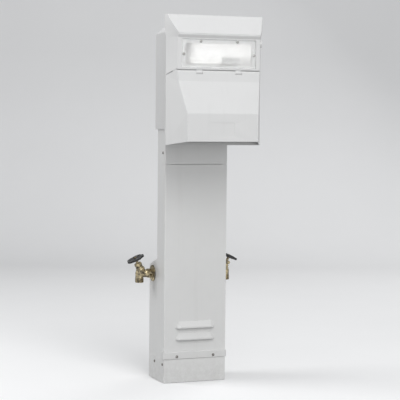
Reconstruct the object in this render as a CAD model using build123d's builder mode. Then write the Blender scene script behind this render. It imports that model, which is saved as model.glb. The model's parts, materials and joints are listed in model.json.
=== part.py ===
"""Power and water pedestal for a camping pitch: post, lit head with a lift-up door, and two hose taps.

Millimetres, +Z up, front of the pedestal towards -Y, origin on the ground under the middle of the foot.
"""

import os
from math import asin, cos, radians, sin

from build123d import *

os.makedirs("parts", exist_ok=True)

# Fits
seat = 0.2
gap = 0.3
running = 0.06

# Door hinge and window face, which the whole head is placed from
hinge_height = 944.0
face_ahead = 171.5

# Post
post_width = 203.0
post_front = -62.0
post_depth = 74.0
foot_depth = 140.0
tap_height = 328.0
foot_roof_front = tap_height + 47.0
foot_roof_back = tap_height + 24.0
sheet = 2.0
cover_sheet = 1.5
post_top = hinge_height + 112.0
lip_reach = 16.0
cover_return = 16.0
neck_return = 30.0
channel_half = post_width / 2 - cover_sheet - gap
channel_front = post_front + cover_sheet + gap
channel_back = post_front + post_depth
foot_back = post_front + foot_depth
seam_height = hinge_height - 275.0
neck_top = hinge_height + 76.0

# Foot, skirt and trim strip
strip_low = 73.0
strip_high = 95.0
strip_return = 16.0
skirt_top = strip_low - 1.5
strip_proud = 2.6
cover_low = strip_high + 1.0
anchor_half_x = 72.0
anchor_half_y = 38.0
anchor_hole = 6.5
pan_sheet = 5.0
pan_upstand = 42.0
entry_wide = 84.0
entry_deep = 104.0

# Louvres
louvre_half = 66.5
louvre_top_half = 54.0
louvre_tall = 24.0
louvre_deep = 9.0
louvre_tops = (192.0, 156.0)

# Head
wall = 3.0
head_back = 18.0
collar_half = 105.0
collar_low = hinge_height - 169.0
collar_high = hinge_height + 143.0
rim_ahead = face_ahead - 41.5
rim_half = 151.0
rim_low = hinge_height - 213.0
rim_high = hinge_height + 167.0
taper = 0.5
hood_ahead = rim_ahead + 8.0
hood_top = rim_high + 1.0
hood_lip_ahead = face_ahead + 6.5
hood_lip = hinge_height + 113.0
hood_flare = 4.5
face_high = hood_lip - 10.0
sill_low = hinge_height + 9.5
sill = 3.0
ledge_ahead = face_ahead - 5.0
ledge_back = ledge_ahead - 3.5
split_back = hinge_height - 7.0

# Window
lens_half = 117.0
lens_low = hinge_height + 13.0
lens_high = lens_low + 83.0
lens_sheet = 3.0
gasket_sheet = 1.2
light_half = 105.0
light_low = lens_low + 8.0
light_high = lens_high - 12.0
lens_screw_high = lens_high - 6.0
lens_screw_side = lens_low + 39.0
lens_screw_spots = ((-58.0, lens_screw_high), (58.0, lens_screw_high),
                    (-lens_half + 6.0, lens_screw_side), (lens_half - 6.0, lens_screw_side))

# Door
hinge_ahead = face_ahead - 5.5
barrel = 6.0
pin_radius = 2.5
door_kink = (hinge_ahead + 9.0, hinge_height - 26.0)
door_crease = (hinge_ahead + 42.0, hinge_height - 120.0)
door_foot = (hinge_ahead + 42.0, rim_low + 12.0)
pin_half = 128.0
knuckle_spots = (-62.0, 62.0)
knuckle_long = 20.0

# Panel behind the door
panel_ahead = rim_ahead + gap
panel_sheet = 2.0
panel_half = rim_half - 10.0
panel_low = rim_low + 7.0
panel_high = hinge_height - 10.0

# Hose taps
tap_y = post_front + 108.0
tap_reach = 134.5
tap_lean = 26.0
spout_reach = 144.0
spout_radius = 13.35
spout_end = tap_height - 28.0
wheel_radius = 28.0
wheel_along = 48.0

entry_y = tap_y - 32.0


def ahead(distance):
    """Y of a point that far in front of the post's front face."""
    return post_front - distance


panel_face = panel_ahead + panel_sheet


# Shared makers

def crown(radius, low, high):
    """Middle point of the arc that domes a turned piece up to its axis."""
    rise = high - low
    ball = (radius**2 + rise**2) / (2 * rise)
    half_turn = asin(radius / ball) / 2
    return (ball * sin(half_turn), high - ball + ball * cos(half_turn))


def pan_screw(head_radius, head_tall, shank_radius, shank_long):
    """Domed screw, head up from the seat at z 0."""
    edge = head_tall * 0.4
    with BuildPart() as screw:
        with BuildSketch(Plane.XZ):
            with BuildLine():
                Polyline((0, head_tall), (0, -shank_long), (shank_radius, -shank_long), (shank_radius, 0),
                         (head_radius, 0), (head_radius, edge))
                ThreePointArc((head_radius, edge), crown(head_radius, edge, head_tall), (0, head_tall))
            make_face()
        revolve(axis=Axis.Z)
    return screw.part


def flush_screw(head_radius, head_deep, shank_radius, shank_long, rise=0.0):
    """Countersunk screw, head level with z 0, or the cutter for its hole, which rises past that."""
    with BuildPart() as screw:
        with BuildSketch(Plane.XZ):
            with BuildLine():
                Polyline((0, rise), (head_radius, rise), (head_radius, -0.3), (shank_radius, -head_deep),
                         (shank_radius, -shank_long), (0, -shank_long), close=True)
            make_face()
        revolve(axis=Axis.Z)
    return screw.part


def facing(x, y, z, way):
    """Place on a seat at this point, with the way pointing out of the seat."""
    return Plane(origin=(x, y, z), z_dir=way).location


def front_corners(builder, front_y):
    """Upright outer edges of a folded sheet, where its sides turn into its front."""
    return builder.edges().filter_by(Axis.Z).filter_by_position(Axis.Y, front_y - 0.1, front_y + 0.1)


def hex_nut(across, tall, bore_radius):
    """Plain six-sided nut, foot at z 0, with its top corners turned off."""
    with BuildPart() as nut:
        with BuildSketch():
            RegularPolygon(across / 2, 6, major_radius=False)
            Circle(bore_radius, mode=Mode.SUBTRACT)
        extrude(amount=tall)
        with BuildSketch(Plane.XZ):
            with BuildLine():
                Polyline((0, -1), (across * 0.62, -1), (across * 0.62, tall * 0.72), (across * 0.49, tall),
                         (0, tall), close=True)
            make_face()
        revolve(axis=Axis.Z, mode=Mode.INTERSECT)
    return nut.part


front = (0, -1, 0)
back = (0, 1, 0)
left = (-1, 0, 0)
right = (1, 0, 0)

cover_screw_spots = [(side * (channel_half - 9), z) for side in (-1, 1)
                     for z in (cover_low + 44, (cover_low + seam_height) / 2, seam_height - 29)]
neck_screw_spots = [(side, post_front + 19, z) for side in (-1, 1)
                    for z in (seam_height + 35, neck_top - 60)]
skirt_screw_spots = [(side, y) for side in (-1, 1) for y in (post_front + 12, post_front + 81)]
skirt_screw_height = 57.0
strip_screw_spots = (-60.0, 60.0)
strip_screw_height = strip_low + 8
shell_boss_spots = [(side * (rim_half - 14), z) for side in (-1, 1) for z in (hood_lip - 55, hood_lip + 37)]
panel_screw_spots = [(side * (rim_half - 16), z) for side in (-1, 1)
                     for z in (panel_low + 9, (panel_low + panel_high) / 2, panel_high - 9)]


# Post channel: back, sides, deeper foot with a sloped roof, and inward lips for the covers

with BuildPart() as post_channel:
    with BuildSketch(Plane.YZ):
        with BuildLine():
            Polyline((channel_front, 0), (foot_back, 0), (foot_back, foot_roof_back),
                     (channel_back, foot_roof_front), (channel_back, post_top), (channel_front, post_top),
                     close=True)
        make_face()
    extrude(amount=channel_half, both=True)
    fillet(post_channel.edges().filter_by(Axis.Z).sort_by(Axis.Y)[-4:], 5)
    with BuildSketch(Plane.YZ):
        with BuildLine():
            Polyline((channel_front - 2, -2), (foot_back - sheet, -2),
                     (foot_back - sheet, foot_roof_back - sheet),
                     (channel_back - sheet, foot_roof_front - sheet),
                     (channel_back - sheet, post_top - sheet), (channel_front - 2, post_top - sheet),
                     close=True)
        make_face()
    extrude(amount=channel_half - sheet, both=True, mode=Mode.SUBTRACT)
    for side in (-1, 1):
        with BuildSketch(Plane.XY):
            with Locations((side * (channel_half - lip_reach / 2), channel_front + sheet / 2)):
                Rectangle(lip_reach, sheet)
        extrude(amount=post_top)
    with BuildSketch(Plane.XZ.offset(-channel_front)):
        with Locations(*cover_screw_spots):
            Circle(1.9)
    extrude(amount=-10, both=True, mode=Mode.SUBTRACT)
    with BuildSketch(Plane.YZ):
        with Locations((tap_y, tap_height)):
            Circle(15)
        with Locations(*[(y, z) for side, y, z in neck_screw_spots if side > 0]):
            Circle(1.9)
        with Locations(*[(y, skirt_screw_height) for side, y in skirt_screw_spots if side > 0]):
            Circle(1.9)
    extrude(amount=post_width, both=True, mode=Mode.SUBTRACT)

# Foot pan: anchor plate with upstands, and an entry for the conduit and the water riser

pan_half_x = channel_half - sheet - seat
pan_front = channel_front + sheet + seat
pan_back = foot_back - sheet - seat

with BuildPart() as foot_pan:
    with BuildSketch(Plane.XY):
        with Locations((0, (pan_front + pan_back) / 2)):
            RectangleRounded(2 * pan_half_x, pan_back - pan_front, 2.8)
    extrude(amount=pan_upstand)
    with BuildSketch(Plane.XY.offset(pan_sheet)):
        with Locations((0, (pan_front + pan_back) / 2)):
            RectangleRounded(2 * pan_half_x - 6, pan_back - pan_front - 6, 2)
    extrude(amount=pan_upstand, mode=Mode.SUBTRACT)
    with BuildSketch(Plane.XY):
        with Locations((0, entry_y)):
            RectangleRounded(entry_wide, entry_deep, 14)
        with Locations((-anchor_half_x, -anchor_half_y), (anchor_half_x, -anchor_half_y),
                       (-anchor_half_x, anchor_half_y), (anchor_half_x, anchor_half_y)):
            Circle(anchor_hole)
    extrude(amount=pan_sheet, mode=Mode.SUBTRACT)

# Skirt: folded sheet round the front and both sides of the foot

skirt_outer = channel_half + seat + cover_sheet
skirt_front = channel_front - seat - cover_sheet
skirt_back = foot_back - 22.0

with BuildPart() as skirt:
    with BuildSketch(Plane.XY.offset(1)):
        with BuildLine():
            Polyline((-skirt_outer, skirt_back), (-skirt_outer, skirt_front), (skirt_outer, skirt_front),
                     (skirt_outer, skirt_back), (skirt_outer - cover_sheet, skirt_back),
                     (skirt_outer - cover_sheet, skirt_front + cover_sheet),
                     (-skirt_outer + cover_sheet, skirt_front + cover_sheet),
                     (-skirt_outer + cover_sheet, skirt_back), close=True)
        make_face()
    extrude(amount=skirt_top - 1)
    fillet(front_corners(skirt, skirt_front), 1.4)
    with BuildSketch(Plane.YZ):
        with Locations(*[(y, skirt_screw_height) for side, y in skirt_screw_spots if side > 0]):
            Circle(2.2)
    extrude(amount=post_width, both=True, mode=Mode.SUBTRACT)

with BuildPart() as skirt_screws:
    for side, y in skirt_screw_spots:
        way = left if side < 0 else right
        add(facing(side * (skirt_outer + seat), y, skirt_screw_height, way) * pan_screw(4.2, 2.6, 1.7, 8))

# Trim strip: raised bar between the skirt and the lift-off cover, wrapped round both corners

strip_half = post_width / 2 + strip_proud
strip_front = post_front - strip_proud
strip_back = post_front + strip_return
strip_inner = channel_half + seat

with BuildPart() as trim_strip:
    with BuildSketch(Plane.XY.offset(strip_low)):
        with BuildLine():
            Polyline((-strip_half, strip_back), (-strip_half, strip_front), (strip_half, strip_front),
                     (strip_half, strip_back), (strip_inner, strip_back),
                     (strip_inner, channel_front - seat), (-strip_inner, channel_front - seat),
                     (-strip_inner, strip_back), close=True)
        make_face()
    extrude(amount=strip_high - strip_low)
    fillet(front_corners(trim_strip, strip_front), 3)
    rims = [edge for face in (trim_strip.faces().sort_by(Axis.Z)[0], trim_strip.faces().sort_by(Axis.Z)[-1])
            for edge in face.edges()
            if (abs(edge.center().X) > strip_inner + 1 or edge.center().Y < channel_front - 1)
            and edge.center().Y < strip_back - 1]
    chamfer(rims, 1.4)
    with BuildSketch(Plane.XZ.offset(-post_front - 5)):
        with Locations(*[(x, strip_screw_height) for x in strip_screw_spots]):
            Circle(2.2)
    extrude(amount=20, both=True, mode=Mode.SUBTRACT)

with BuildPart() as strip_screws:
    for x in strip_screw_spots:
        add(facing(x, strip_front - seat, strip_screw_height, front) * pan_screw(4.2, 2.6, 1.7, 8))

# Crossbar behind the trim strip, joining the two lips of the channel

with BuildPart() as crossbar:
    with BuildSketch(Plane.XZ.offset(-channel_front - sheet - seat)):
        with Locations((0, strip_screw_height)):
            Rectangle(2 * (channel_half - sheet - gap), 18)
            with Locations((strip_screw_spots[0], 0), (strip_screw_spots[1], 0)):
                Circle(2.0, mode=Mode.SUBTRACT)
    extrude(amount=-2.5)

# Lift-off front cover with two pressed louvres


def scoop(foot, top, half, top_half, back, out, lip_half, lip_top_half, lip_tall):
    """Louvre blister: wide and open at its foot, running back into the sheet at its narrow top."""
    with BuildPart() as blister:
        with BuildSketch(Plane.XZ.offset(-post_front - back)):
            Polygon((-half, foot), (-half + 1, foot + 7), (-top_half, top), (top_half, top),
                    (half - 1, foot + 7), (half, foot), align=None)
        with BuildSketch(Plane.XZ.offset(-post_front + out)):
            Polygon((-lip_half, foot), (-lip_half + 0.6, foot + 1.4), (-lip_top_half, foot + lip_tall),
                    (lip_top_half, foot + lip_tall), (lip_half - 0.6, foot + 1.4), (lip_half, foot),
                    align=None)
        loft(ruled=True)
    return blister.part


outer = post_width / 2
inner = outer - cover_sheet

with BuildPart() as front_cover:
    with BuildSketch(Plane.XY.offset(cover_low)):
        with BuildLine():
            Polyline((-outer, post_front + cover_return), (-outer, post_front), (outer, post_front),
                     (outer, post_front + cover_return), (inner, post_front + cover_return),
                     (inner, post_front + cover_sheet), (-inner, post_front + cover_sheet),
                     (-inner, post_front + cover_return), close=True)
        make_face()
    extrude(amount=seam_height - cover_low)
    fillet(front_corners(front_cover, post_front), 1.4)
    for top in louvre_tops:
        foot = top - louvre_tall
        add(scoop(foot, top, louvre_half, louvre_top_half, cover_sheet, louvre_deep, louvre_half - 12,
                  louvre_top_half - 6, 4.5))
        add(scoop(foot - 1.2, top - 1.6, louvre_half - 2, louvre_top_half - 3, cover_sheet + 0.2,
                  louvre_deep - 1.4, louvre_half - 14, louvre_top_half - 9, 4.1), mode=Mode.SUBTRACT)
    for x, z in cover_screw_spots:
        add(facing(x, post_front, z, front) * flush_screw(3.7, 1.7, 1.95, 4, 1), mode=Mode.SUBTRACT)

with BuildPart() as cover_screws:
    for x, z in cover_screw_spots:
        add(facing(x, post_front, z, front) * flush_screw(3.4, 1.4, 1.6, 9))

# Fixed neck panel above the seam, running up inside the head

with BuildPart() as neck_panel:
    with BuildSketch(Plane.XY.offset(seam_height + 1.2)):
        with BuildLine():
            Polyline((-outer, post_front + neck_return), (-outer, post_front), (outer, post_front),
                     (outer, post_front + neck_return), (inner, post_front + neck_return),
                     (inner, post_front + cover_sheet), (-inner, post_front + cover_sheet),
                     (-inner, post_front + neck_return), close=True)
        make_face()
    extrude(amount=neck_top - seam_height - 1.2)
    fillet(front_corners(neck_panel, post_front), 1.4)
    with BuildSketch(Plane.XZ.offset(-post_front)):
        with Locations((0, neck_top - 120)):
            RectangleRounded(150, 150, 10)
    extrude(amount=-6, both=True, mode=Mode.SUBTRACT)
    with BuildSketch(Plane.YZ):
        with Locations(*[(y, z) for side, y, z in neck_screw_spots if side > 0]):
            Circle(2.2)
    extrude(amount=post_width, both=True, mode=Mode.SUBTRACT)

with BuildPart() as neck_screws:
    for side, y, z in neck_screw_spots:
        if z < collar_low:
            way = left if side < 0 else right
            add(facing(side * (post_width / 2 + seat), y, z, way) * pan_screw(4.2, 2.4, 1.7, 8))

# Head: rear housing, a collar over the post that flares out to the rim


def section(half, low, high, cut):
    """Corners of the head's outline across the width, with its two top corners cut off."""
    return [(-half, low), (half, low), (half, high - cut), (half - cut, high), (-half + cut, high),
            (-half, high - cut)]


rim_back = rim_ahead - gap

with BuildPart() as rear_housing:
    with BuildSketch(Plane.XZ.offset(-head_back)):
        Polygon(*section(collar_half, collar_low, collar_high - 3, 20), align=None)
    with BuildSketch(Plane.XZ.offset(-post_front)):
        Polygon(*section(collar_half, collar_low, collar_high, 19), align=None)
    loft(ruled=True)
    with BuildSketch(Plane.XZ.offset(-post_front)):
        Polygon(*section(collar_half, collar_low, collar_high, 19), align=None)
    with BuildSketch(Plane.XZ.offset(-post_front + rim_back)):
        Polygon(*section(rim_half, rim_low, rim_high, 4), align=None)
    loft(ruled=True)
    with BuildSketch(Plane.XZ.offset(-head_back + wall)):
        Polygon(*section(collar_half - wall, collar_low + wall, collar_high - 3 - wall, 20), align=None)
    with BuildSketch(Plane.XZ.offset(-post_front)):
        Polygon(*section(collar_half - wall, collar_low + wall, collar_high - wall, 19), align=None)
    loft(ruled=True, mode=Mode.SUBTRACT)
    with BuildSketch(Plane.XZ.offset(-post_front)):
        Polygon(*section(collar_half - wall, collar_low + wall, collar_high - wall, 19), align=None)
    with BuildSketch(Plane.XZ.offset(-post_front + rim_back - wall)):
        Polygon(*section(rim_half - wall - 1, rim_low + wall + 1, rim_high - wall - 1, 4), align=None)
    loft(ruled=True, mode=Mode.SUBTRACT)
    with BuildSketch(Plane.XZ.offset(-post_front + rim_back)):
        with Locations((0, (rim_low + rim_high) / 2)):
            RectangleRounded(2 * rim_half - 44, rim_high - rim_low - 44, 8)
        with Locations(*shell_boss_spots, *panel_screw_spots):
            Circle(1.9)
    extrude(amount=-wall - 4, both=True, mode=Mode.SUBTRACT)
    with BuildSketch(Plane.XY.offset(collar_low - 2)):
        with Locations((0, (post_front - gap + channel_back + gap) / 2)):
            Rectangle(post_width + 2 * gap, post_depth + 2 * gap)
    extrude(amount=8, mode=Mode.SUBTRACT)

# Front shell: hood, cheeks and window frame above the door


def plan(inset, reach, flare=0.0):
    """Corners of the tapered outline of the head's front seen from above."""
    far = rim_ahead - reach
    near = door_foot[0] + 12
    half_far = rim_half + flare - inset * 1.118 - (far - rim_ahead) * taper
    half_near = rim_half + flare - inset * 1.118 - (near - rim_ahead) * taper
    return [(-half_far, ahead(far)), (half_far, ahead(far)), (half_near, ahead(near)),
            (-half_near, ahead(near))]


shell_room_profile = [(ahead(rim_ahead - 5), sill_low + sill), (ahead(rim_ahead - 5), rim_high - wall),
                      (ahead(hood_ahead - 2), hood_top - wall - 1), (ahead(ledge_back), hood_lip + 16),
                      (ahead(ledge_back), sill_low + sill)]
under_sill_profile = [(ahead(rim_ahead - 5), split_back - 20), (ahead(rim_ahead - 5), sill_low),
                      (ahead(face_ahead + 5), sill_low), (ahead(face_ahead + 5), split_back - 20)]


def inner_room(profile):
    """Hollow of the head's front: a side profile cut to the inside of the tapered walls."""
    with BuildPart() as room:
        with BuildSketch(Plane.YZ):
            with BuildLine():
                Polyline(*profile, close=True)
            make_face()
        extrude(amount=rim_half + 5, both=True)
        with BuildSketch(Plane.XY.offset(rim_low - 81)):
            Polygon(*plan(wall, 5), align=None)
        extrude(amount=hood_top - rim_low + 119, mode=Mode.INTERSECT)
    return room.part


def knuckle_strap():
    """Side outline of the strap that carries a knuckle under the sill."""
    return [(ahead(hinge_ahead + 3.6), sill_low + 0.5), (ahead(hinge_ahead - 5), sill_low + 0.5),
            (ahead(hinge_ahead - 5), hinge_height), (ahead(hinge_ahead + 3.6), hinge_height + 2)]


hinge_y = ahead(hinge_ahead)
photocell_ahead = rim_ahead + 20
photocell_height = hood_lip - 26
photocell_way = (cos(radians(26.565)), -sin(radians(26.565)), 0)
photocell_seat = (rim_half - (photocell_ahead - rim_ahead) * taper, ahead(photocell_ahead), photocell_height)

flare_low = face_high - 2.0
flare_high = hood_lip + 13.0


def head_outline():
    """Tapered room of the head's front, wider round the hood than round the window."""
    with BuildPart() as outline:
        with BuildSketch(Plane.XY.offset(split_back - 37)):
            Polygon(*plan(0, 0), align=None)
        extrude(amount=flare_low - split_back + 37)
        with BuildSketch(Plane.XY.offset(flare_low)):
            Polygon(*plan(0, 0), align=None)
        with BuildSketch(Plane.XY.offset(flare_high)):
            Polygon(*plan(0, 0, hood_flare), align=None)
        loft(ruled=True)
        with BuildSketch(Plane.XY.offset(flare_high)):
            Polygon(*plan(0, 0, hood_flare), align=None)
        extrude(amount=hood_top - flare_high + 20)
    return outline.part


with BuildPart() as front_shell:
    with BuildSketch(Plane.YZ):
        with BuildLine():
            Polyline((ahead(rim_ahead), split_back), (ahead(rim_ahead), rim_high),
                     (ahead(hood_ahead), hood_top), (ahead(hood_lip_ahead), hood_lip),
                     (ahead(hood_lip_ahead - 1.5), hood_lip - 3), (ahead(face_ahead - 1), face_high),
                     (ahead(face_ahead), face_high - 1),
                     (ahead(face_ahead), sill_low), (ahead(hinge_ahead), sill_low), close=True)
        make_face()
    extrude(amount=rim_half + 5, both=True)
    add(head_outline(), mode=Mode.INTERSECT)
    add(inner_room(shell_room_profile), mode=Mode.SUBTRACT)
    add(inner_room(under_sill_profile), mode=Mode.SUBTRACT)
    with BuildSketch(Plane.XZ.offset(-post_front + rim_ahead)):
        with Locations(*shell_boss_spots):
            Circle(5.5)
    extrude(amount=13)
    with BuildSketch(Plane.XZ.offset(-post_front + rim_ahead)):
        with Locations(*shell_boss_spots):
            Circle(1.9)
    extrude(amount=11, mode=Mode.SUBTRACT)
    with BuildSketch(Plane.XZ.offset(-post_front + ledge_ahead)):
        with Locations((0, (lens_low + lens_high) / 2)):
            RectangleRounded(2 * lens_half + 1, lens_high - lens_low + 1, 3)
    extrude(amount=6, mode=Mode.SUBTRACT)
    with BuildSketch(Plane.XZ.offset(-post_front + ledge_back - 1)):
        with Locations((0, (light_low + light_high) / 2)):
            RectangleRounded(2 * light_half, light_high - light_low, 4)
        with Locations(*lens_screw_spots):
            Circle(1.9)
    extrude(amount=10, mode=Mode.SUBTRACT)
    for x in knuckle_spots:
        with BuildSketch(Plane.YZ.offset(x - knuckle_long / 2)):
            Polygon(*knuckle_strap(), align=None)
            with Locations((hinge_y, hinge_height)):
                Circle(barrel - 0.3)
                Circle(pin_radius + 0.02, mode=Mode.SUBTRACT)
        extrude(amount=knuckle_long)
    with BuildSketch(Plane(origin=photocell_seat, z_dir=photocell_way)):
        Circle(6.3)
    extrude(amount=12, both=True, mode=Mode.SUBTRACT)

with BuildPart() as shell_screws:
    for x, z in shell_boss_spots:
        add(facing(x, ahead(rim_back - wall) + seat, z, back) * pan_screw(3.8, 2.4, 1.6, 11))

# Lens, its gasket and screws

with BuildPart() as lens_gasket:
    with BuildSketch(Plane.XZ.offset(-post_front + ledge_ahead + seat)):
        with Locations((0, (lens_low + lens_high) / 2)):
            RectangleRounded(2 * lens_half - 0.4, lens_high - lens_low - 0.4, 2.6)
        with Locations((0, (light_low + light_high) / 2)):
            RectangleRounded(2 * light_half, light_high - light_low, 4, mode=Mode.SUBTRACT)
        with Locations(*lens_screw_spots):
            Circle(2.0, mode=Mode.SUBTRACT)
    extrude(amount=gasket_sheet)

lens_back = ledge_ahead + seat + gasket_sheet + seat

with BuildPart() as lens:
    with BuildSketch(Plane.XZ.offset(-post_front + lens_back)):
        with Locations((0, (lens_low + lens_high) / 2)):
            RectangleRounded(2 * lens_half, lens_high - lens_low, 2.8)
    extrude(amount=lens_sheet)
    chamfer(lens.faces().sort_by(Axis.Y)[0].edges(), 0.8)
    with BuildSketch(Plane.XZ.offset(-post_front + lens_back - 1)):
        with Locations(*lens_screw_spots):
            Circle(2.0)
    extrude(amount=8, mode=Mode.SUBTRACT)

with BuildPart() as lens_screws:
    for x, z in lens_screw_spots:
        add(facing(x, ahead(lens_back + lens_sheet + seat), z, front) * pan_screw(4.0, 2.4, 1.6, 10.5))

# Lamp tray, holder, twin-tube lamp and photocell

tray_front = ledge_back - 0.3
tray_sheet = 1.2
tray_back = rim_ahead + 4
tray_mid = (lens_low + lens_high) / 2
tray_wide = 2 * light_half
tray_tall = light_high - light_low

with BuildPart() as lamp_tray:
    with BuildSketch(Plane.XZ.offset(-post_front + tray_front - tray_sheet)):
        with Locations((0, tray_mid)):
            RectangleRounded(tray_wide + 22, tray_tall + 17, 4)
        with Locations(*lens_screw_spots):
            Circle(1.9, mode=Mode.SUBTRACT)
    extrude(amount=tray_sheet)
    with BuildSketch(Plane.XZ.offset(-post_front + tray_front - tray_sheet)):
        with Locations((0, tray_mid - 1.5)):
            RectangleRounded(tray_wide + 4, tray_tall + 5, 6)
    with BuildSketch(Plane.XZ.offset(-post_front + tray_back)):
        with Locations((0, tray_mid - 2.5)):
            RectangleRounded(tray_wide - 32, tray_tall - 1, 6)
    loft()
    with BuildSketch(Plane.XZ.offset(-post_front + tray_front + 1)):
        with Locations((0, tray_mid - 1.5)):
            RectangleRounded(tray_wide + 3, tray_tall + 3, 5)
    with BuildSketch(Plane.XZ.offset(-post_front + tray_back + tray_sheet)):
        with Locations((0, tray_mid - 2.5)):
            RectangleRounded(tray_wide - 34, tray_tall - 3.4, 5)
    loft(mode=Mode.SUBTRACT)

lamp_y = ahead(tray_back + 15)
lamp_z = light_low + 13

with BuildPart() as lamp_holder:
    with BuildSketch(Plane.XZ.offset(-lamp_y - 9)):
        with Locations((44, lamp_z)):
            RectangleRounded(56, 21, 5)
    extrude(amount=18)
    fillet(lamp_holder.edges().group_by(Axis.Y)[0], 2.5)
    with BuildSketch(Plane.XZ.offset(-post_front + tray_back + tray_sheet + seat)):
        with Locations((44, lamp_z)):
            RectangleRounded(34, 14, 3)
    extrude(amount=6)
    with BuildSketch(Plane.YZ.offset(10)):
        with Locations((lamp_y, lamp_z)):
            RectangleRounded(12, 15, 2)
    extrude(amount=22, mode=Mode.SUBTRACT)

with BuildPart() as lamp:
    with BuildSketch(Plane.YZ.offset(12)):
        with Locations((lamp_y, lamp_z)):
            RectangleRounded(11.4, 14.4, 1.8)
    extrude(amount=18)
    with BuildSketch(Plane.YZ.offset(-82)):
        with Locations((lamp_y, lamp_z - 4.6), (lamp_y, lamp_z + 4.6)):
            Circle(4.3)
    extrude(amount=94.5)
    fillet(lamp.faces().sort_by(Axis.X)[:2].edges(), 2)
    with BuildSketch(Plane.XY.offset(lamp_z - 4)):
        with Locations((-74, lamp_y)):
            Circle(3)
    extrude(amount=8)

with BuildPart() as photocell:
    with BuildSketch(Plane(origin=photocell_seat, z_dir=photocell_way)):
        Circle(6)
    extrude(amount=-14)
    with BuildSketch(Plane(origin=photocell_seat, z_dir=photocell_way).offset(seat)):
        Circle(10)
    extrude(amount=4.4)
    with BuildSketch(Plane(origin=photocell_seat, z_dir=photocell_way)):
        Circle(6)
    extrude(amount=seat)
    fillet(photocell.faces().sort_by(Axis(photocell_seat, photocell_way))[-1].edges(), 3.2)

# Door: moulded cover with side returns, rolled top edge and a shallow front recess

door_rear = rim_ahead + gap
door_top_back = split_back - 1.6

with BuildPart() as door:
    with BuildSketch(Plane.YZ):
        with BuildLine():
            roll_start = (hinge_y, hinge_height + barrel)
            roll_mid = (hinge_y - barrel * cos(radians(45)), hinge_height + barrel * sin(radians(45)))
            roll_end = (hinge_y - barrel, hinge_height)
            ThreePointArc(roll_start, roll_mid, roll_end)
            Polyline(roll_end, (ahead(door_kink[0]), door_kink[1]), (ahead(door_crease[0]), door_crease[1]),
                     (ahead(door_foot[0]), door_foot[1]), (ahead(door_rear), rim_low),
                     (ahead(door_rear), door_top_back), (hinge_y + barrel, hinge_height + 3.5), roll_start)
        make_face()
    extrude(amount=rim_half + 5, both=True)
    crosswise = door.edges().filter_by(Axis.X)
    fillet(crosswise.filter_by_position(Axis.Z, door_crease[1] - 1, door_crease[1] + 1), 12)
    fillet(door.edges().filter_by(Axis.X).filter_by_position(Axis.Z, door_kink[1] - 1, door_kink[1] + 1), 14)
    with BuildSketch(Plane.XY.offset(rim_low - 31)):
        Polygon(*plan(0, 0), align=None)
    extrude(amount=hinge_height - rim_low + 57, mode=Mode.INTERSECT)
    corner_edges = [edge for edge in door.edges()
                    if abs(edge.center().X) > rim_half - 46 and edge.center().Y < ahead(hinge_ahead + 2)
                    and door_foot[1] + 2 < edge.center().Z < hinge_height]
    fillet(corner_edges, 3.5)
    add(inner_room([(ahead(rim_ahead - 30), hinge_height + 26),
                    (ahead(hinge_ahead - barrel - 0.1), hinge_height + 26),
                    (ahead(hinge_ahead - barrel - 0.1), hinge_height - 2),
                    (ahead(hinge_ahead - 1), hinge_height - 7),
                    (ahead(door_kink[0] - 5.4), hinge_height - 9),
                    (ahead(door_kink[0] - 3.1), door_kink[1] - 0.5),
                    (ahead(door_crease[0] - wall), door_crease[1] - 0.5),
                    (ahead(door_crease[0] - wall), rim_low - 31), (ahead(rim_ahead - 30), rim_low - 31)]),
        mode=Mode.SUBTRACT)
    for x in knuckle_spots:
        with BuildSketch(Plane.YZ.offset(x - knuckle_long / 2 - 0.4)):
            Polygon((ahead(rim_ahead - 30), hinge_height - barrel - 0.5),
                    (ahead(hinge_ahead + 24), hinge_height - barrel - 0.5),
                    (ahead(hinge_ahead + 24), hinge_height + 36), (ahead(rim_ahead - 30), hinge_height + 36),
                    align=None)
        extrude(amount=knuckle_long + 0.8, mode=Mode.SUBTRACT)
    with BuildSketch(Plane.YZ.offset(-pin_half - 0.6)):
        with Locations((hinge_y, hinge_height)):
            Circle(pin_radius + running)
    extrude(amount=2 * pin_half + 14, mode=Mode.SUBTRACT)
    with BuildSketch(Plane.XZ.offset(-post_front + door_foot[0] - 0.8)):
        with Locations((-3, door_foot[1] + 35)):
            RectangleRounded(78, 41, 4)
    extrude(amount=5, mode=Mode.SUBTRACT)

with BuildPart() as hinge_pin:
    with BuildSketch(Plane.YZ.offset(-pin_half)):
        with Locations((hinge_y, hinge_height)):
            Circle(pin_radius)
    extrude(amount=2 * pin_half)
    chamfer(hinge_pin.edges(), 0.5)

# Panel behind the door, with the outlets and breakers

outlet_z = panel_low + 77
outlet_50_x = -78.0
outlet_30_x = 0.0
outlet_20_x = 78.0
breaker_z = panel_high - 37
pole = 25.4
breaker_spots = (("50", -25.4, 2), ("30", 12.7, 1), ("20", 38.1, 1))

with BuildPart() as inner_panel:
    with BuildSketch(Plane.XZ.offset(-post_front + panel_ahead)):
        with Locations((0, (panel_low + panel_high) / 2)):
            RectangleRounded(2 * panel_half, panel_high - panel_low, 5)
        with Locations((outlet_50_x, outlet_z)):
            Circle(27.3, mode=Mode.SUBTRACT)
        with Locations((outlet_30_x, outlet_z)):
            Circle(23.3, mode=Mode.SUBTRACT)
        with Locations((outlet_20_x, outlet_z)):
            RectangleRounded(34.0, 67.4, 3.2, mode=Mode.SUBTRACT)
        for name, x, poles in breaker_spots:
            with Locations((x, breaker_z)):
                RectangleRounded(pole * poles - 5.8, 42.6, 1.4, mode=Mode.SUBTRACT)
        with Locations(*panel_screw_spots):
            Circle(2.1, mode=Mode.SUBTRACT)
    extrude(amount=panel_sheet)

with BuildPart() as panel_screws:
    for x, z in panel_screw_spots:
        add(facing(x, ahead(panel_face + seat), z, front) * pan_screw(3.8, 2.2, 1.6, 8))


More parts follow.
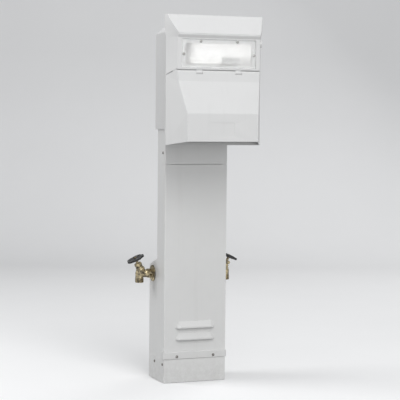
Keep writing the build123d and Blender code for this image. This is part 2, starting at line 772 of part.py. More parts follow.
def slots(x, z, places, face, deep):
    """Cutter for the contact slots of an outlet. Each place is dx, dz, wide, tall, turn in degrees."""
    with BuildPart() as cutter:
        with BuildSketch(Plane.XZ.offset(-post_front + face - deep)):
            for dx, dz, wide, tall, turn in places:
                with Locations(Location((x + dx, z + dz, 0), (0, 0, turn))):
                    Rectangle(wide, tall)
        extrude(amount=deep + 2)
    return cutter.part


def earth_hole(x, z, radius, face, deep):
    """Cutter for a round-backed earth contact hole."""
    with BuildPart() as cutter:
        with BuildSketch(Plane.XZ.offset(-post_front + face - deep)):
            with Locations((x, z)):
                Circle(radius)
            with Locations((x, z - radius / 2)):
                Rectangle(2 * radius, radius)
        extrude(amount=deep + 2)
    return cutter.part


outlet_face = panel_face + 2.6
outlet_back = panel_ahead - 38.3

with BuildPart() as outlet_50:
    with BuildSketch(Plane.XZ.offset(-post_front + outlet_back)):
        with Locations((outlet_50_x, outlet_z)):
            Circle(25)
    extrude(amount=panel_ahead - outlet_back - seat)
    with BuildSketch(Plane.XZ.offset(-post_front + panel_ahead - seat - 6)):
        with Locations((outlet_50_x, outlet_z)):
            RectangleRounded(58, 62, 6)
    extrude(amount=6)
    with BuildSketch(Plane.XZ.offset(-post_front + panel_ahead - seat)):
        with Locations((outlet_50_x, outlet_z)):
            Circle(27)
    extrude(amount=outlet_face - panel_ahead + seat)
    chamfer(outlet_50.faces().sort_by(Axis.Y)[0].edges(), 1.0)
    places = [(-12.7, 0, 2.6, 13, 0), (12.7, 0, 2.6, 13, 0), (0, -14, 9, 2.6, 0)]
    add(slots(outlet_50_x, outlet_z, places, outlet_face, 16), mode=Mode.SUBTRACT)
    add(earth_hole(outlet_50_x, outlet_z + 14.5, 3.0, outlet_face, 18), mode=Mode.SUBTRACT)

with BuildPart() as outlet_30:
    with BuildSketch(Plane.XZ.offset(-post_front + outlet_back + 4)):
        with Locations((outlet_30_x, outlet_z)):
            Circle(21)
    extrude(amount=panel_ahead - outlet_back - 4 - seat)
    with BuildSketch(Plane.XZ.offset(-post_front + panel_ahead - seat - 6)):
        with Locations((outlet_30_x, outlet_z)):
            RectangleRounded(50, 54, 6)
    extrude(amount=6)
    with BuildSketch(Plane.XZ.offset(-post_front + panel_ahead - seat)):
        with Locations((outlet_30_x, outlet_z)):
            Circle(23)
    extrude(amount=outlet_face - panel_ahead + seat)
    chamfer(outlet_30.faces().sort_by(Axis.Y)[0].edges(), 1.0)
    places = [(-8.6, -3, 2.6, 12, -35), (8.6, -3, 2.6, 12, 35)]
    add(slots(outlet_30_x, outlet_z, places, outlet_face, 16), mode=Mode.SUBTRACT)
    add(earth_hole(outlet_30_x, outlet_z + 10.5, 3.0, outlet_face, 18), mode=Mode.SUBTRACT)

with BuildPart() as outlet_20:
    with BuildSketch(Plane.XZ.offset(-post_front + outlet_back + 6)):
        with Locations((outlet_20_x, outlet_z)):
            RectangleRounded(40, 64, 3)
    extrude(amount=panel_ahead - outlet_back - 6 - seat - 3)
    with BuildSketch(Plane.XZ.offset(-post_front + panel_ahead - seat - 3)):
        with Locations((outlet_20_x, outlet_z)):
            RectangleRounded(42, 96, 3)
    extrude(amount=3)
    with BuildSketch(Plane.XZ.offset(-post_front + panel_ahead - seat)):
        with Locations((outlet_20_x, outlet_z)):
            RectangleRounded(33.4, 66.8, 3)
    extrude(amount=outlet_face - panel_ahead + seat)
    chamfer(outlet_20.faces().sort_by(Axis.Y)[0].edges(), 0.8)
    for dz in (-21, 21):
        places = [(-6.3, 1.5, 2.2, 8.6, 0), (-8.4, 1.5, 4.4, 2.2, 0), (6.3, 1.5, 2.2, 7.2, 0)]
        add(slots(outlet_20_x, outlet_z + dz, places, outlet_face, 14), mode=Mode.SUBTRACT)
        add(earth_hole(outlet_20_x, outlet_z + dz - 7.4, 2.5, outlet_face, 15), mode=Mode.SUBTRACT)
    with BuildSketch(Plane.XZ.offset(-post_front + outlet_face - 7)):
        with Locations((outlet_20_x, outlet_z - 3.9), (outlet_20_x, outlet_z + 3.9)):
            RectangleRounded(16.6, 6.2, 0.8)
    extrude(amount=10, mode=Mode.SUBTRACT)

button_gap = 0.3


def push_button(dz):
    """Small sprung key in the middle of the twin outlet."""
    with BuildPart() as key:
        with BuildSketch(Plane.XZ.offset(-post_front + outlet_face - 4.6)):
            with Locations((outlet_20_x, outlet_z + dz)):
                RectangleRounded(16.6 - 2 * button_gap, 6.2 - 2 * button_gap, 0.6)
        extrude(amount=6.0)
        chamfer(key.faces().sort_by(Axis.Y)[0].edges(), 0.5)
    return key.part


with BuildPart() as test_button:
    add(push_button(-3.9))

with BuildPart() as reset_button:
    add(push_button(3.9))

# Breakers: moulded cases with rocking handles

breaker_back = panel_ahead - 58.3
pivot_ahead = panel_ahead - 11.3
hub = 7.0
neck_front = panel_face + 2.2
throw_on = 18.0


def breaker_case(x, poles):
    """Case behind the panel with a raised neck through it and a pocket for the handle."""
    half = pole * poles / 2 - 0.2
    pocket_half = pole * poles / 2 - 8.4
    with BuildPart() as case:
        with BuildSketch(Plane.YZ.offset(x - half)):
            Polygon((ahead(breaker_back), breaker_z - 38), (ahead(breaker_back), breaker_z + 38),
                    (ahead(pivot_ahead - 1), breaker_z + 38), (ahead(panel_ahead - 0.4), breaker_z + 27),
                    (ahead(panel_ahead - 0.4), breaker_z - 27), (ahead(pivot_ahead - 1), breaker_z - 38),
                    align=None)
        extrude(amount=2 * half)
        with BuildSketch(Plane.XZ.offset(-post_front + panel_ahead - 1)):
            with Locations((x, breaker_z)):
                RectangleRounded(2 * half - 6.2, 42, 1.2)
        extrude(amount=neck_front - panel_ahead + 1)
        chamfer(case.faces().sort_by(Axis.Y)[0].edges(), 0.6)
        with BuildSketch(Plane.XZ.offset(-post_front + pivot_ahead - hub - 1.6)):
            with Locations((x, breaker_z)):
                Rectangle(2 * pocket_half, 30)
        extrude(amount=60, mode=Mode.SUBTRACT)
        with BuildSketch(Plane.YZ.offset(x - pocket_half - 2.4)):
            with Locations((ahead(pivot_ahead), breaker_z)):
                Circle(1.6)
        extrude(amount=2 * pocket_half + 4.8, mode=Mode.SUBTRACT)
    return case.part


def breaker_handle(x, poles):
    """Rocking handle on its two stub axles, shown switched on."""
    half = pole * poles / 2 - 8.7
    with BuildPart() as handle:
        with BuildSketch(Plane.YZ.offset(x - half)):
            with Locations((ahead(pivot_ahead), breaker_z)):
                Circle(hub)
        extrude(amount=2 * half)
        with BuildSketch(Plane.YZ.offset(x - half + 0.3)):
            Polygon((ahead(pivot_ahead), breaker_z - 4.0), (ahead(pivot_ahead + 27), breaker_z - 2.4),
                    (ahead(pivot_ahead + 28), breaker_z - 1.4), (ahead(pivot_ahead + 28), breaker_z + 1.4),
                    (ahead(pivot_ahead + 27), breaker_z + 2.4), (ahead(pivot_ahead), breaker_z + 4.0),
                    align=None)
        extrude(amount=2 * half - 0.6)
        with BuildSketch(Plane.YZ.offset(x - half - 2.2)):
            with Locations((ahead(pivot_ahead), breaker_z)):
                Circle(1.6 - running)
        extrude(amount=2 * half + 4.4)
    turned = handle.part.rotate(Axis((x, ahead(pivot_ahead), breaker_z), (1, 0, 0)), -throw_on)
    return turned


with BuildPart() as breaker_50:
    add(breaker_case(breaker_spots[0][1], 2))
with BuildPart() as breaker_30:
    add(breaker_case(breaker_spots[1][1], 1))
with BuildPart() as breaker_20:
    add(breaker_case(breaker_spots[2][1], 1))
with BuildPart() as handle_50:
    add(breaker_handle(breaker_spots[0][1], 2))
with BuildPart() as handle_30:
    add(breaker_handle(breaker_spots[1][1], 1))
with BuildPart() as handle_20:
    add(breaker_handle(breaker_spots[2][1], 1))

# Bracket that carries the breakers behind the panel

tab_front = panel_ahead - 0.3
tab_back = breaker_back - 0.3

with BuildPart() as breaker_bracket:
    with BuildSketch(Plane.XY.offset(breaker_z - 22)):
        with BuildLine():
            Polyline((-70, ahead(tab_front)), (-53, ahead(tab_front)), (-53, ahead(tab_back)),
                     (53, ahead(tab_back)), (53, ahead(tab_front)), (70, ahead(tab_front)),
                     (70, ahead(tab_front - 2)), (55, ahead(tab_front - 2)), (55, ahead(tab_back - 2)),
                     (-55, ahead(tab_back - 2)), (-55, ahead(tab_front - 2)),
                     (-70, ahead(tab_front - 2)), close=True)
        make_face()
    extrude(amount=44)

# Terminal block, earth and neutral bars inside the post

inner_back = channel_back - sheet
block_z = 480.0

with BuildPart() as terminal_block:
    with BuildSketch(Plane.XY.offset(block_z)):
        with BuildLine():
            Polyline((-58, inner_back - seat), (-58, inner_back - 12), (-48, inner_back - 12),
                     (-48, inner_back - 34), (-45, inner_back - 34), (-45, inner_back - 16),
                     (-18.5, inner_back - 16), (-18.5, inner_back - 34), (-15.5, inner_back - 34),
                     (-15.5, inner_back - 16), (15.5, inner_back - 16), (15.5, inner_back - 34),
                     (18.5, inner_back - 34), (18.5, inner_back - 16), (45, inner_back - 16),
                     (45, inner_back - 34), (48, inner_back - 34), (48, inner_back - 12),
                     (58, inner_back - 12), (58, inner_back - seat), close=True)
        make_face()
    extrude(amount=62)

lug_spots = (-32.0, 0.0, 32.0)

with BuildPart() as lugs:
    for x in lug_spots:
        with BuildSketch(Plane.YZ.offset(x - 10)):
            Polygon((inner_back - 16.2, block_z + 6), (inner_back - 16.2, block_z + 56),
                    (inner_back - 20, block_z + 56), (inner_back - 32, block_z + 44),
                    (inner_back - 32, block_z + 18), (inner_back - 20, block_z + 6), align=None)
        extrude(amount=20)
        with BuildSketch(Plane.XY.offset(block_z)):
            with Locations((x, inner_back - 25)):
                Circle(5.2)
        extrude(amount=62, mode=Mode.SUBTRACT)
    with BuildSketch(Plane.XZ.offset(-inner_back + 26)):
        with Locations(*[(x, block_z + dz) for x in lug_spots for dz in (23, 39)]):
            Circle(4.3)
    extrude(amount=10, mode=Mode.SUBTRACT)

with BuildPart() as lug_screws:
    for x in lug_spots:
        for dz in (23, 39):
            with BuildSketch(Plane.XZ.offset(-inner_back + 26.4)):
                with Locations((x, block_z + dz)):
                    Circle(4.1)
                    RegularPolygon(2.2, 6, mode=Mode.SUBTRACT)
            extrude(amount=7)

bar_heights = {"earth": 590.0, "neutral": 620.0}
bar_holes = [-42 + 12 * step for step in range(8)]


def terminal_bar(z, stand):
    """Drilled bar standing off the post's back wall."""
    with BuildPart() as bar:
        with BuildSketch(Plane.XZ.offset(-inner_back + stand)):
            with Locations((0, z)):
                RectangleRounded(118, 11, 1)
        extrude(amount=9)
        with BuildSketch(Plane.XY.offset(z - 10)):
            with Locations(*[(x, inner_back - stand - 4.5) for x in bar_holes]):
                Circle(2.2)
        extrude(amount=20, mode=Mode.SUBTRACT)
        with BuildSketch(Plane.XZ.offset(-inner_back + stand + 4)):
            with Locations(*[(x, z) for x in bar_holes]):
                Circle(1.9)
        extrude(amount=10, mode=Mode.SUBTRACT)
    return bar.part


with BuildPart() as earth_bar:
    add(terminal_bar(bar_heights["earth"], 6.2))
with BuildPart() as neutral_bar:
    add(terminal_bar(bar_heights["neutral"], 12.2))

with BuildPart() as bar_feet:
    with BuildSketch(Plane.XZ.offset(-inner_back + seat)):
        with Locations((-54, bar_heights["earth"]), (54, bar_heights["earth"])):
            RectangleRounded(9, 11, 1)
    extrude(amount=5.8)
    with BuildSketch(Plane.XZ.offset(-inner_back + seat)):
        with Locations((-54, bar_heights["neutral"]), (54, bar_heights["neutral"])):
            RectangleRounded(9, 11, 1)
    extrude(amount=11.8)

with BuildPart() as bar_screws:
    for name, stand in (("earth", 6.2), ("neutral", 12.2)):
        for x in bar_holes:
            place = facing(x, inner_back - stand - 9 - seat, bar_heights[name], front)
            add(place * pan_screw(3.2, 2.0, 1.6, 3.4))

# Water riser, tee and hose taps

branch_end = channel_half - 3.5

with BuildPart() as riser:
    with BuildSketch(Plane.XY.offset(2)):
        with Locations((0, tap_y)):
            Circle(13.3)
    extrude(amount=tap_height - 26)
    with BuildSketch(Plane.XY.offset(2)):
        with Locations((0, tap_y)):
            Circle(11)
    extrude(amount=tap_height, mode=Mode.SUBTRACT)

with BuildPart() as tee:
    with BuildSketch(Plane.XY.offset(tap_height - 40)):
        with Locations((0, tap_y)):
            Circle(17.5)
    extrude(amount=16)
    with BuildSketch(Plane.XY.offset(tap_height - 30)):
        with Locations((0, tap_y)):
            Circle(15)
    extrude(amount=30)
    with BuildSketch(Plane.YZ):
        with Locations((tap_y, tap_height)):
            Circle(13.0)
    extrude(amount=branch_end, both=True)
    for side in (-1, 1):
        with BuildSketch(Plane.YZ.offset(side * branch_end)):
            with Locations((tap_y, tap_height)):
                Circle(14.6)
        extrude(amount=-side * 16)
    with BuildSketch(Plane.YZ):
        with Locations((tap_y, tap_height)):
            Circle(10.3)
    extrude(amount=branch_end + 1, both=True, mode=Mode.SUBTRACT)
    with BuildSketch(Plane.XY.offset(tap_height - 41)):
        with Locations((0, tap_y)):
            Circle(10.3)
    extrude(amount=41, mode=Mode.SUBTRACT)
    with BuildSketch(Plane.XY.offset(tap_height - 41)):
        with Locations((0, tap_y)):
            Circle(13.5)
    extrude(amount=17.5, mode=Mode.SUBTRACT)

flange_seat = channel_half + gap
stem_radius = 4.0


def tap_axis(side, along):
    """Location on the leaning valve axis, that far from the middle of the tap."""
    lean = radians(tap_lean)
    return Plane(origin=(side * (tap_reach + along * sin(lean)), tap_y, tap_height + along * cos(lean)),
                 x_dir=(0, 1, 0), z_dir=(side * sin(lean), 0, cos(lean))).location


def turned_ring(points):
    """Turned piece from half outline points of radius and height."""
    with BuildPart() as ring:
        with BuildSketch(Plane.XZ):
            with BuildLine():
                Polyline(*points, close=True)
            make_face()
        revolve(axis=Axis.Z)
    return ring.part


def tap_body(side):
    """Cast tap: threaded tail, wall flange, hexagon, barrel, leaning neck and hose-thread spout."""
    facing_out = Plane(origin=(side * flange_seat, tap_y, tap_height), x_dir=(0, 1, 0),
                       z_dir=(side, 0, 0)).location
    barrel_end = spout_reach - flange_seat
    with BuildPart() as body:
        add(facing_out * turned_ring([(0, -14), (9.6, -14), (10, -13), (10, 0), (25, 0), (25, 2.2), (22, 4),
                                      (13.5, 5.2), (12.5, 8), (12.5, barrel_end), (0, barrel_end)]))
        with BuildSketch(Plane(origin=(side * (flange_seat + 7), tap_y, tap_height), x_dir=(0, 1, 0),
                               z_dir=(side, 0, 0))):
            RegularPolygon(13.6, 6, major_radius=False)
        extrude(amount=11)
        with Locations((side * spout_reach, tap_y, tap_height)):
            Sphere(12.6)
        add(Location((side * spout_reach, tap_y, spout_end)) * turned_ring(
            [(0, 0), (spout_radius - 0.8, 0), (spout_radius, 0.8), (spout_radius, 13.8), (12.2, 15.0),
             (12.2, 28), (0, 28)]))
        add(tap_axis(side, 0) * turned_ring([(0, 0), (13.0, 0), (13.0, 11), (14.2, 12.5), (14.2, 17),
                                             (13.2, 18), (0, 18)]))
        add(tap_axis(side, 0) * turned_ring([(0, -7), (8.6, -7), (8.6, 19), (0, 19)]), mode=Mode.SUBTRACT)
        add(facing_out * turned_ring([(0, -15), (7, -15), (7, barrel_end - 14), (0, barrel_end - 14)]),
            mode=Mode.SUBTRACT)
        with BuildSketch(Plane.XY.offset(spout_end - 1)):
            with Locations((side * spout_reach, tap_y)):
                Circle(9.2)
        extrude(amount=21, mode=Mode.SUBTRACT)
        add(tap_axis(side, -14) * turned_ring([(0, -8), (5.4, -8), (5.4, 10), (0, 10)]), mode=Mode.SUBTRACT)
    return body.part


def tap_bonnet(side):
    """Bonnet screwed into the neck, bored for the stem, with the packing nut's collar above."""
    with BuildPart() as bonnet:
        add(tap_axis(side, 0) * turned_ring(
            [(stem_radius + running, 6.5), (8.4, 6.5), (8.4, 18.2), (11.6, 18.2), (11.6, 24), (8.2, 25),
             (8.2, 27), (stem_radius + running, 27)]))
    return bonnet.part


def packing_nut(side):
    """Hexagon nut over the bonnet that squeezes the stem packing."""
    return tap_axis(side, 27.2) * hex_nut(21, 9, stem_radius + running)


def seat_washer(side):
    """Washer that closes on the seat, pushed along by the stem without turning."""
    return tap_axis(side, 0) * turned_ring([(0, -6.8), (7.6, -6.8), (7.6, -3.6), (6.6, -3.0), (0, -3.0)])


def tap_stem(side):
    """Turned stem with a flange foot and a stepped top for the wheel."""
    return tap_axis(side, 0) * turned_ring(
        [(0, -2.8), (5.0, -2.8), (5.0, 0.2), (stem_radius, 0.2), (stem_radius, wheel_along + 6.0),
         (2.0, wheel_along + 6.0), (2.0, wheel_along - 2.0), (0, wheel_along - 2.0)])


def tap_wheel(side):
    """Cast hand wheel: scalloped rim, five spokes and a raised hub."""
    with BuildPart() as wheel:
        with BuildSketch():
            Circle(wheel_radius)
            with PolarLocations(wheel_radius + 12, 5):
                Circle(15.2, mode=Mode.SUBTRACT)
        extrude(amount=6)
        fillet(wheel.edges(), 1.6)
        with BuildSketch(Plane.XY.offset(-1)) as windows:
            Circle(wheel_radius - 7)
            Circle(9.0, mode=Mode.SUBTRACT)
            with PolarLocations(15, 5, start_angle=36):
                Rectangle(20, 5.4, mode=Mode.SUBTRACT)
            fillet(windows.vertices(), 1.4)
        extrude(amount=8, mode=Mode.SUBTRACT)
        with BuildSketch(Plane.XY.offset(-2)):
            Circle(8.4)
        extrude(amount=8.2)
        with BuildSketch(Plane.XY.offset(-3)):
            Circle(stem_radius + 0.05)
        extrude(amount=12, mode=Mode.SUBTRACT)
    return tap_axis(side, wheel_along) * wheel.part


def wheel_screw(side):
    """Screw with a broad head that holds the wheel on the stem."""
    return tap_axis(side, wheel_along + 6.4) * pan_screw(5.6, 2.4, 1.9, 7)


with BuildPart() as tap_body_left:
    add(tap_body(-1))
with BuildPart() as tap_body_right:
    add(tap_body(1))
with BuildPart() as tap_bonnet_left:
    add(tap_bonnet(-1))
with BuildPart() as tap_bonnet_right:
    add(tap_bonnet(1))
with BuildPart() as packing_nut_left:
    add(packing_nut(-1))
with BuildPart() as packing_nut_right:
    add(packing_nut(1))
with BuildPart() as seat_washer_left:
    add(seat_washer(-1))
with BuildPart() as seat_washer_right:
    add(seat_washer(1))
with BuildPart() as tap_stem_left:
    add(tap_stem(-1))
with BuildPart() as tap_stem_right:
    add(tap_stem(1))
with BuildPart() as tap_wheel_left:
    add(tap_wheel(-1))
with BuildPart() as tap_wheel_right:
    add(tap_wheel(1))
with BuildPart() as wheel_screw_left:
    add(wheel_screw(-1))
with BuildPart() as wheel_screw_right:
    add(wheel_screw(1))

pieces = {
    "post_channel": post_channel,
    "foot_pan": foot_pan,
    "skirt": skirt,
    "skirt_screws": skirt_screws,
    "trim_strip": trim_strip,
    "strip_screws": strip_screws,
    "crossbar": crossbar,
    "front_cover": front_cover,
    "cover_screws": cover_screws,
    "neck_panel": neck_panel,
    "neck_screws": neck_screws,
    "rear_housing": rear_housing,
    "front_shell": front_shell,
    "shell_screws": shell_screws,
    "lens_gasket": lens_gasket,
    "lens": lens,
    "lens_screws": lens_screws,
    "lamp_tray": lamp_tray,
    "lamp_holder": lamp_holder,
    "lamp": lamp,
    "photocell": photocell,
    "door": door,
    "hinge_pin": hinge_pin,
    "inner_panel": inner_panel,
    "panel_screws": panel_screws,
    "outlet_50": outlet_50,
    "outlet_30": outlet_30,
    "outlet_20": outlet_20,
    "test_button": test_button,
    "reset_button": reset_button,
    "breaker_50": breaker_50,
    "breaker_30": breaker_30,
    "breaker_20": breaker_20,
    "handle_50": handle_50,
    "handle_30": handle_30,
    "handle_20": handle_20,
    "breaker_bracket": breaker_bracket,
    "terminal_block": terminal_block,
    "lugs": lugs,
    "lug_screws": lug_screws,
    "earth_bar": earth_bar,
    "neutral_bar": neutral_bar,
    "bar_feet": bar_feet,
    "bar_screws": bar_screws,
    "riser": riser,
    "tee": tee,
    "tap_body_left": tap_body_left,
    "tap_body_right": tap_body_right,
    "tap_bonnet_left": tap_bonnet_left,
    "tap_bonnet_right": tap_bonnet_right,
    "packing_nut_left": packing_nut_left,
    "packing_nut_right": packing_nut_right,
    "seat_washer_left": seat_washer_left,
    "seat_washer_right": seat_washer_right,
    "tap_stem_left": tap_stem_left,
    "tap_stem_right": tap_stem_right,
    "tap_wheel_left": tap_wheel_left,
    "tap_wheel_right": tap_wheel_right,
    "wheel_screw_left": wheel_screw_left,
    "wheel_screw_right": wheel_screw_right,
}

for label, piece in pieces.items():
    piece.part.label = label
    export_step(piece.part, "parts/" + label + ".step")
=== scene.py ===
"""Camping pitch pedestal dressed for the render: paint, moulding, lit lens, outlets and hose taps."""
import json
from math import cos, pi, radians, sin

import bmesh
import bpy
from mathutils import Matrix, Vector

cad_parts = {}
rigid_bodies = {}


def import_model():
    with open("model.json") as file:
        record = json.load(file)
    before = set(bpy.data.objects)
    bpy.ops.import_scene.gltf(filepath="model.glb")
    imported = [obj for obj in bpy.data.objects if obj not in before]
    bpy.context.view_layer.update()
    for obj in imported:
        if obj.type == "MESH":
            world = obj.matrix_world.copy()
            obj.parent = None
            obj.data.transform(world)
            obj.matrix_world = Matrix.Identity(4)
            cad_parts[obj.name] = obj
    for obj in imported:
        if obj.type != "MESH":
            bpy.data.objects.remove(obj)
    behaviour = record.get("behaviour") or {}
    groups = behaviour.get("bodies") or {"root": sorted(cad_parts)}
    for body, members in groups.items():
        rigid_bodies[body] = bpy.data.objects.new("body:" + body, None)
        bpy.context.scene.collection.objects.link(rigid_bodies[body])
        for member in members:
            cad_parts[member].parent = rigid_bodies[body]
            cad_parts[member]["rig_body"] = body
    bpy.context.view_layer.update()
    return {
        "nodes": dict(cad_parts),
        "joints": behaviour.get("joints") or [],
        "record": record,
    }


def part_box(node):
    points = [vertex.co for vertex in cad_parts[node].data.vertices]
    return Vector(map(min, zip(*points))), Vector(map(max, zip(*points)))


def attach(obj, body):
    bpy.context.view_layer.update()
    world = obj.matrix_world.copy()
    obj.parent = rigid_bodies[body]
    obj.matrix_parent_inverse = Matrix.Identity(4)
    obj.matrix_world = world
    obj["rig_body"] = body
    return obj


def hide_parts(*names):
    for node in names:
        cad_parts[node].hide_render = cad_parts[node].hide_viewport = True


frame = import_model()
nodes = frame["nodes"]

# Camera, from the vanishing lines of the photograph

view_yaw = radians(22.0)
view_pitch = radians(3.49)
view_roll = radians(0.55)
view_distance = 4.270
view_sideways = 0.0118
view_height = 0.821
picture_pixels = 400.0
focal_pixels = 1400.0
sensor_mm = 36.0
post_front = Vector((0, -0.062, 0))


def set_camera():
    """Camera to the left of the front, at hip height."""
    level = Vector((sin(view_yaw), cos(view_yaw), 0))
    across = Vector((cos(view_yaw), -sin(view_yaw), 0))
    place = post_front - level * view_distance + across * view_sideways
    place.z = view_height
    look = level * cos(view_pitch) - Vector((0, 0, sin(view_pitch)))
    up = across.cross(look)
    tilted_across = across * cos(view_roll) + up * sin(view_roll)
    tilted_up = up * cos(view_roll) - across * sin(view_roll)
    data = bpy.data.cameras.new("view")
    data.lens = sensor_mm * focal_pixels / picture_pixels
    data.sensor_width = sensor_mm
    camera = bpy.data.objects.new("view", data)
    camera.matrix_world = Matrix((
        (tilted_across.x, tilted_up.x, -look.x, place.x),
        (tilted_across.y, tilted_up.y, -look.y, place.y),
        (tilted_across.z, tilted_up.z, -look.z, place.z),
        (0, 0, 0, 1)))
    bpy.context.scene.collection.objects.link(camera)
    bpy.context.scene.camera = camera


set_camera()

# Shared effects as node groups


def new_group(name, inputs, outputs):
    """Empty shader node group with these sockets. Inputs are name, kind and default."""
    group = bpy.data.node_groups.new(name, "ShaderNodeTree")
    for label, kind, value in inputs:
        socket = group.interface.new_socket(label, in_out="INPUT", socket_type=kind)
        socket.default_value = value
    for label, kind in outputs:
        group.interface.new_socket(label, in_out="OUTPUT", socket_type=kind)
    return group, group.nodes.new("NodeGroupInput"), group.nodes.new("NodeGroupOutput")


def calc(tree, kind, a, b=0.0, clamp=False):
    """Math node on two values or sockets."""
    node = tree.nodes.new("ShaderNodeMath")
    node.operation = kind
    node.use_clamp = clamp
    for slot, value in zip(node.inputs, (a, b)):
        if isinstance(value, (int, float)):
            slot.default_value = value
        else:
            tree.links.new(value, slot)
    return node.outputs[0]


def blend_colour(tree, share, a, b):
    """Mix of two colours by a share."""
    node = tree.nodes.new("ShaderNodeMix")
    node.data_type = "RGBA"
    for slot, value in ((node.inputs[0], share), (node.inputs[6], a), (node.inputs[7], b)):
        if isinstance(value, (int, float, tuple)):
            slot.default_value = value
        else:
            tree.links.new(value, slot)
    return node.outputs[2]


def noise(tree, place, scale, detail=3.0, rough=0.5):
    """Noise value at a place."""
    node = tree.nodes.new("ShaderNodeTexNoise")
    node.inputs["Detail"].default_value = detail
    node.inputs["Roughness"].default_value = rough
    tree.links.new(place, node.inputs["Vector"])
    if isinstance(scale, (int, float)):
        node.inputs["Scale"].default_value = scale
    else:
        tree.links.new(scale, node.inputs["Scale"])
    return node.outputs["Fac"]


def ramp(tree, value, low, high):
    """Smooth step from 0 at low to 1 at high."""
    node = tree.nodes.new("ShaderNodeMapRange")
    node.interpolation_type = "SMOOTHSTEP"
    for label, setting in (("Value", value), ("From Min", low), ("From Max", high)):
        if isinstance(setting, (int, float)):
            node.inputs[label].default_value = setting
        else:
            tree.links.new(setting, node.inputs[label])
    return node.outputs["Result"]


def stretched(tree, place, size):
    """Place scaled along its three axes."""
    node = tree.nodes.new("ShaderNodeMapping")
    node.inputs["Scale"].default_value = size
    tree.links.new(place, node.inputs["Vector"])
    return node.outputs["Vector"]


def make_grain():
    """Fine moulded or sprayed grain: a height that feeds a bump."""
    group, take, give = new_group(
        "paint grain",
        [("Scale", "NodeSocketFloat", 900.0), ("Wave", "NodeSocketFloat", 0.3)],
        [("Height", "NodeSocketFloat")])
    place = group.nodes.new("ShaderNodeTexCoord").outputs["Object"]
    fine = noise(group, place, take.outputs["Scale"], 2.0, 0.6)
    slow = noise(group, place, 22.0, 2.0, 0.5)
    wave = calc(group, "MULTIPLY", slow, take.outputs["Wave"])
    group.links.new(calc(group, "ADD", fine, wave), give.inputs["Height"])
    return group


splash_fade = (0.02, 0.11)  # heights between which the splashed soil thins out
run_size = (55.0, 55.0, 2.2)
# Levels of noise, and of an edge's sharpness, between which each effect comes in
run_levels = (0.52, 0.78)
spot_levels = (0.30, 0.66)
edge_levels = (0.53, 0.62)
chalk = (0.86, 0.86, 0.85, 1)


def make_weather():
    """Outdoor age: soft blotches, faint runs down the faces, soil splashed up and chalky edges."""
    group, take, give = new_group(
        "weather",
        [("Colour", "NodeSocketColor", (0.6, 0.6, 0.6, 1)), ("Soil", "NodeSocketColor", (0.3, 0.28, 0.25, 1)),
         ("Blotch", "NodeSocketFloat", 0.05), ("Runs", "NodeSocketFloat", 0.05),
         ("Splash", "NodeSocketFloat", 0.5), ("Edge", "NodeSocketFloat", 0.2)],
        [("Colour", "NodeSocketColor"), ("Dirt", "NodeSocketFloat")])
    place = group.nodes.new("ShaderNodeTexCoord").outputs["Object"]
    apart = group.nodes.new("ShaderNodeSeparateXYZ")
    group.links.new(place, apart.inputs[0])
    blotch = noise(group, place, 9.0, 5.0, 0.6)
    lifted = calc(group, "MULTIPLY", calc(group, "SUBTRACT", blotch, 0.5), take.outputs["Blotch"])
    value = calc(group, "ADD", 1.0, calc(group, "MULTIPLY", lifted, 2.0))
    tone = group.nodes.new("ShaderNodeVectorMath")
    tone.operation = "SCALE"
    group.links.new(take.outputs["Colour"], tone.inputs[0])
    group.links.new(value, tone.inputs["Scale"])
    runs = ramp(group, noise(group, stretched(group, place, run_size), 1.0, 4.0, 0.65), *run_levels)
    runs = calc(group, "MULTIPLY", runs, take.outputs["Runs"])
    low = calc(group, "SUBTRACT", 1.0, ramp(group, apart.outputs["Z"], *splash_fade))
    spots = ramp(group, noise(group, place, 75.0, 6.0, 0.7), *spot_levels)
    splash = calc(group, "MULTIPLY", calc(group, "MULTIPLY", low, spots), take.outputs["Splash"])
    dirt = calc(group, "ADD", runs, splash, clamp=True)
    point = group.nodes.new("ShaderNodeNewGeometry").outputs["Pointiness"]
    edge = calc(group, "MULTIPLY", ramp(group, point, *edge_levels), take.outputs["Edge"])
    soiled = blend_colour(group, dirt, tone.outputs[0], take.outputs["Soil"])
    chalked = blend_colour(group, edge, soiled, chalk)
    group.links.new(chalked, give.inputs["Colour"])
    group.links.new(dirt, give.inputs["Dirt"])
    return group


oxide_start = 0.75  # level of noise above which a metal would be dull if its share of oxide were nil
oxide_spread = 0.5
oxide_soft = 0.12


def make_tarnish():
    """Cast or drawn metal out of doors: patches of dull oxide and a pitted height."""
    group, take, give = new_group(
        "tarnish",
        [("Metal", "NodeSocketColor", (0.5, 0.4, 0.2, 1)), ("Oxide", "NodeSocketColor", (0.1, 0.08, 0.05, 1)),
         ("Share", "NodeSocketFloat", 0.5), ("Scale", "NodeSocketFloat", 60.0)],
        [("Colour", "NodeSocketColor"), ("Mask", "NodeSocketFloat"), ("Height", "NodeSocketFloat")])
    place = group.nodes.new("ShaderNodeTexCoord").outputs["Object"]
    patch = noise(group, place, take.outputs["Scale"], 6.0, 0.65)
    spread = calc(group, "MULTIPLY", take.outputs["Share"], oxide_spread)
    start = calc(group, "SUBTRACT", oxide_start, spread)
    mask = ramp(group, patch, calc(group, "SUBTRACT", start, oxide_soft),
                calc(group, "ADD", start, oxide_soft))
    colour = blend_colour(group, mask, take.outputs["Metal"], take.outputs["Oxide"])
    group.links.new(colour, give.inputs["Colour"])
    group.links.new(mask, give.inputs["Mask"])
    pits = noise(group, place, 1400.0, 3.0, 0.6)
    group.links.new(calc(group, "ADD", pits, calc(group, "MULTIPLY", patch, 0.6)), give.inputs["Height"])
    return group


grain = make_grain()
weather = make_weather()
tarnish = make_tarnish()

# Finishes


def new_material(name):
    """Material with a Principled shader, ready for its nodes."""
    material = bpy.data.materials.new(name)
    material.use_nodes = True
    return material, material.node_tree, material.node_tree.nodes["Principled BSDF"]


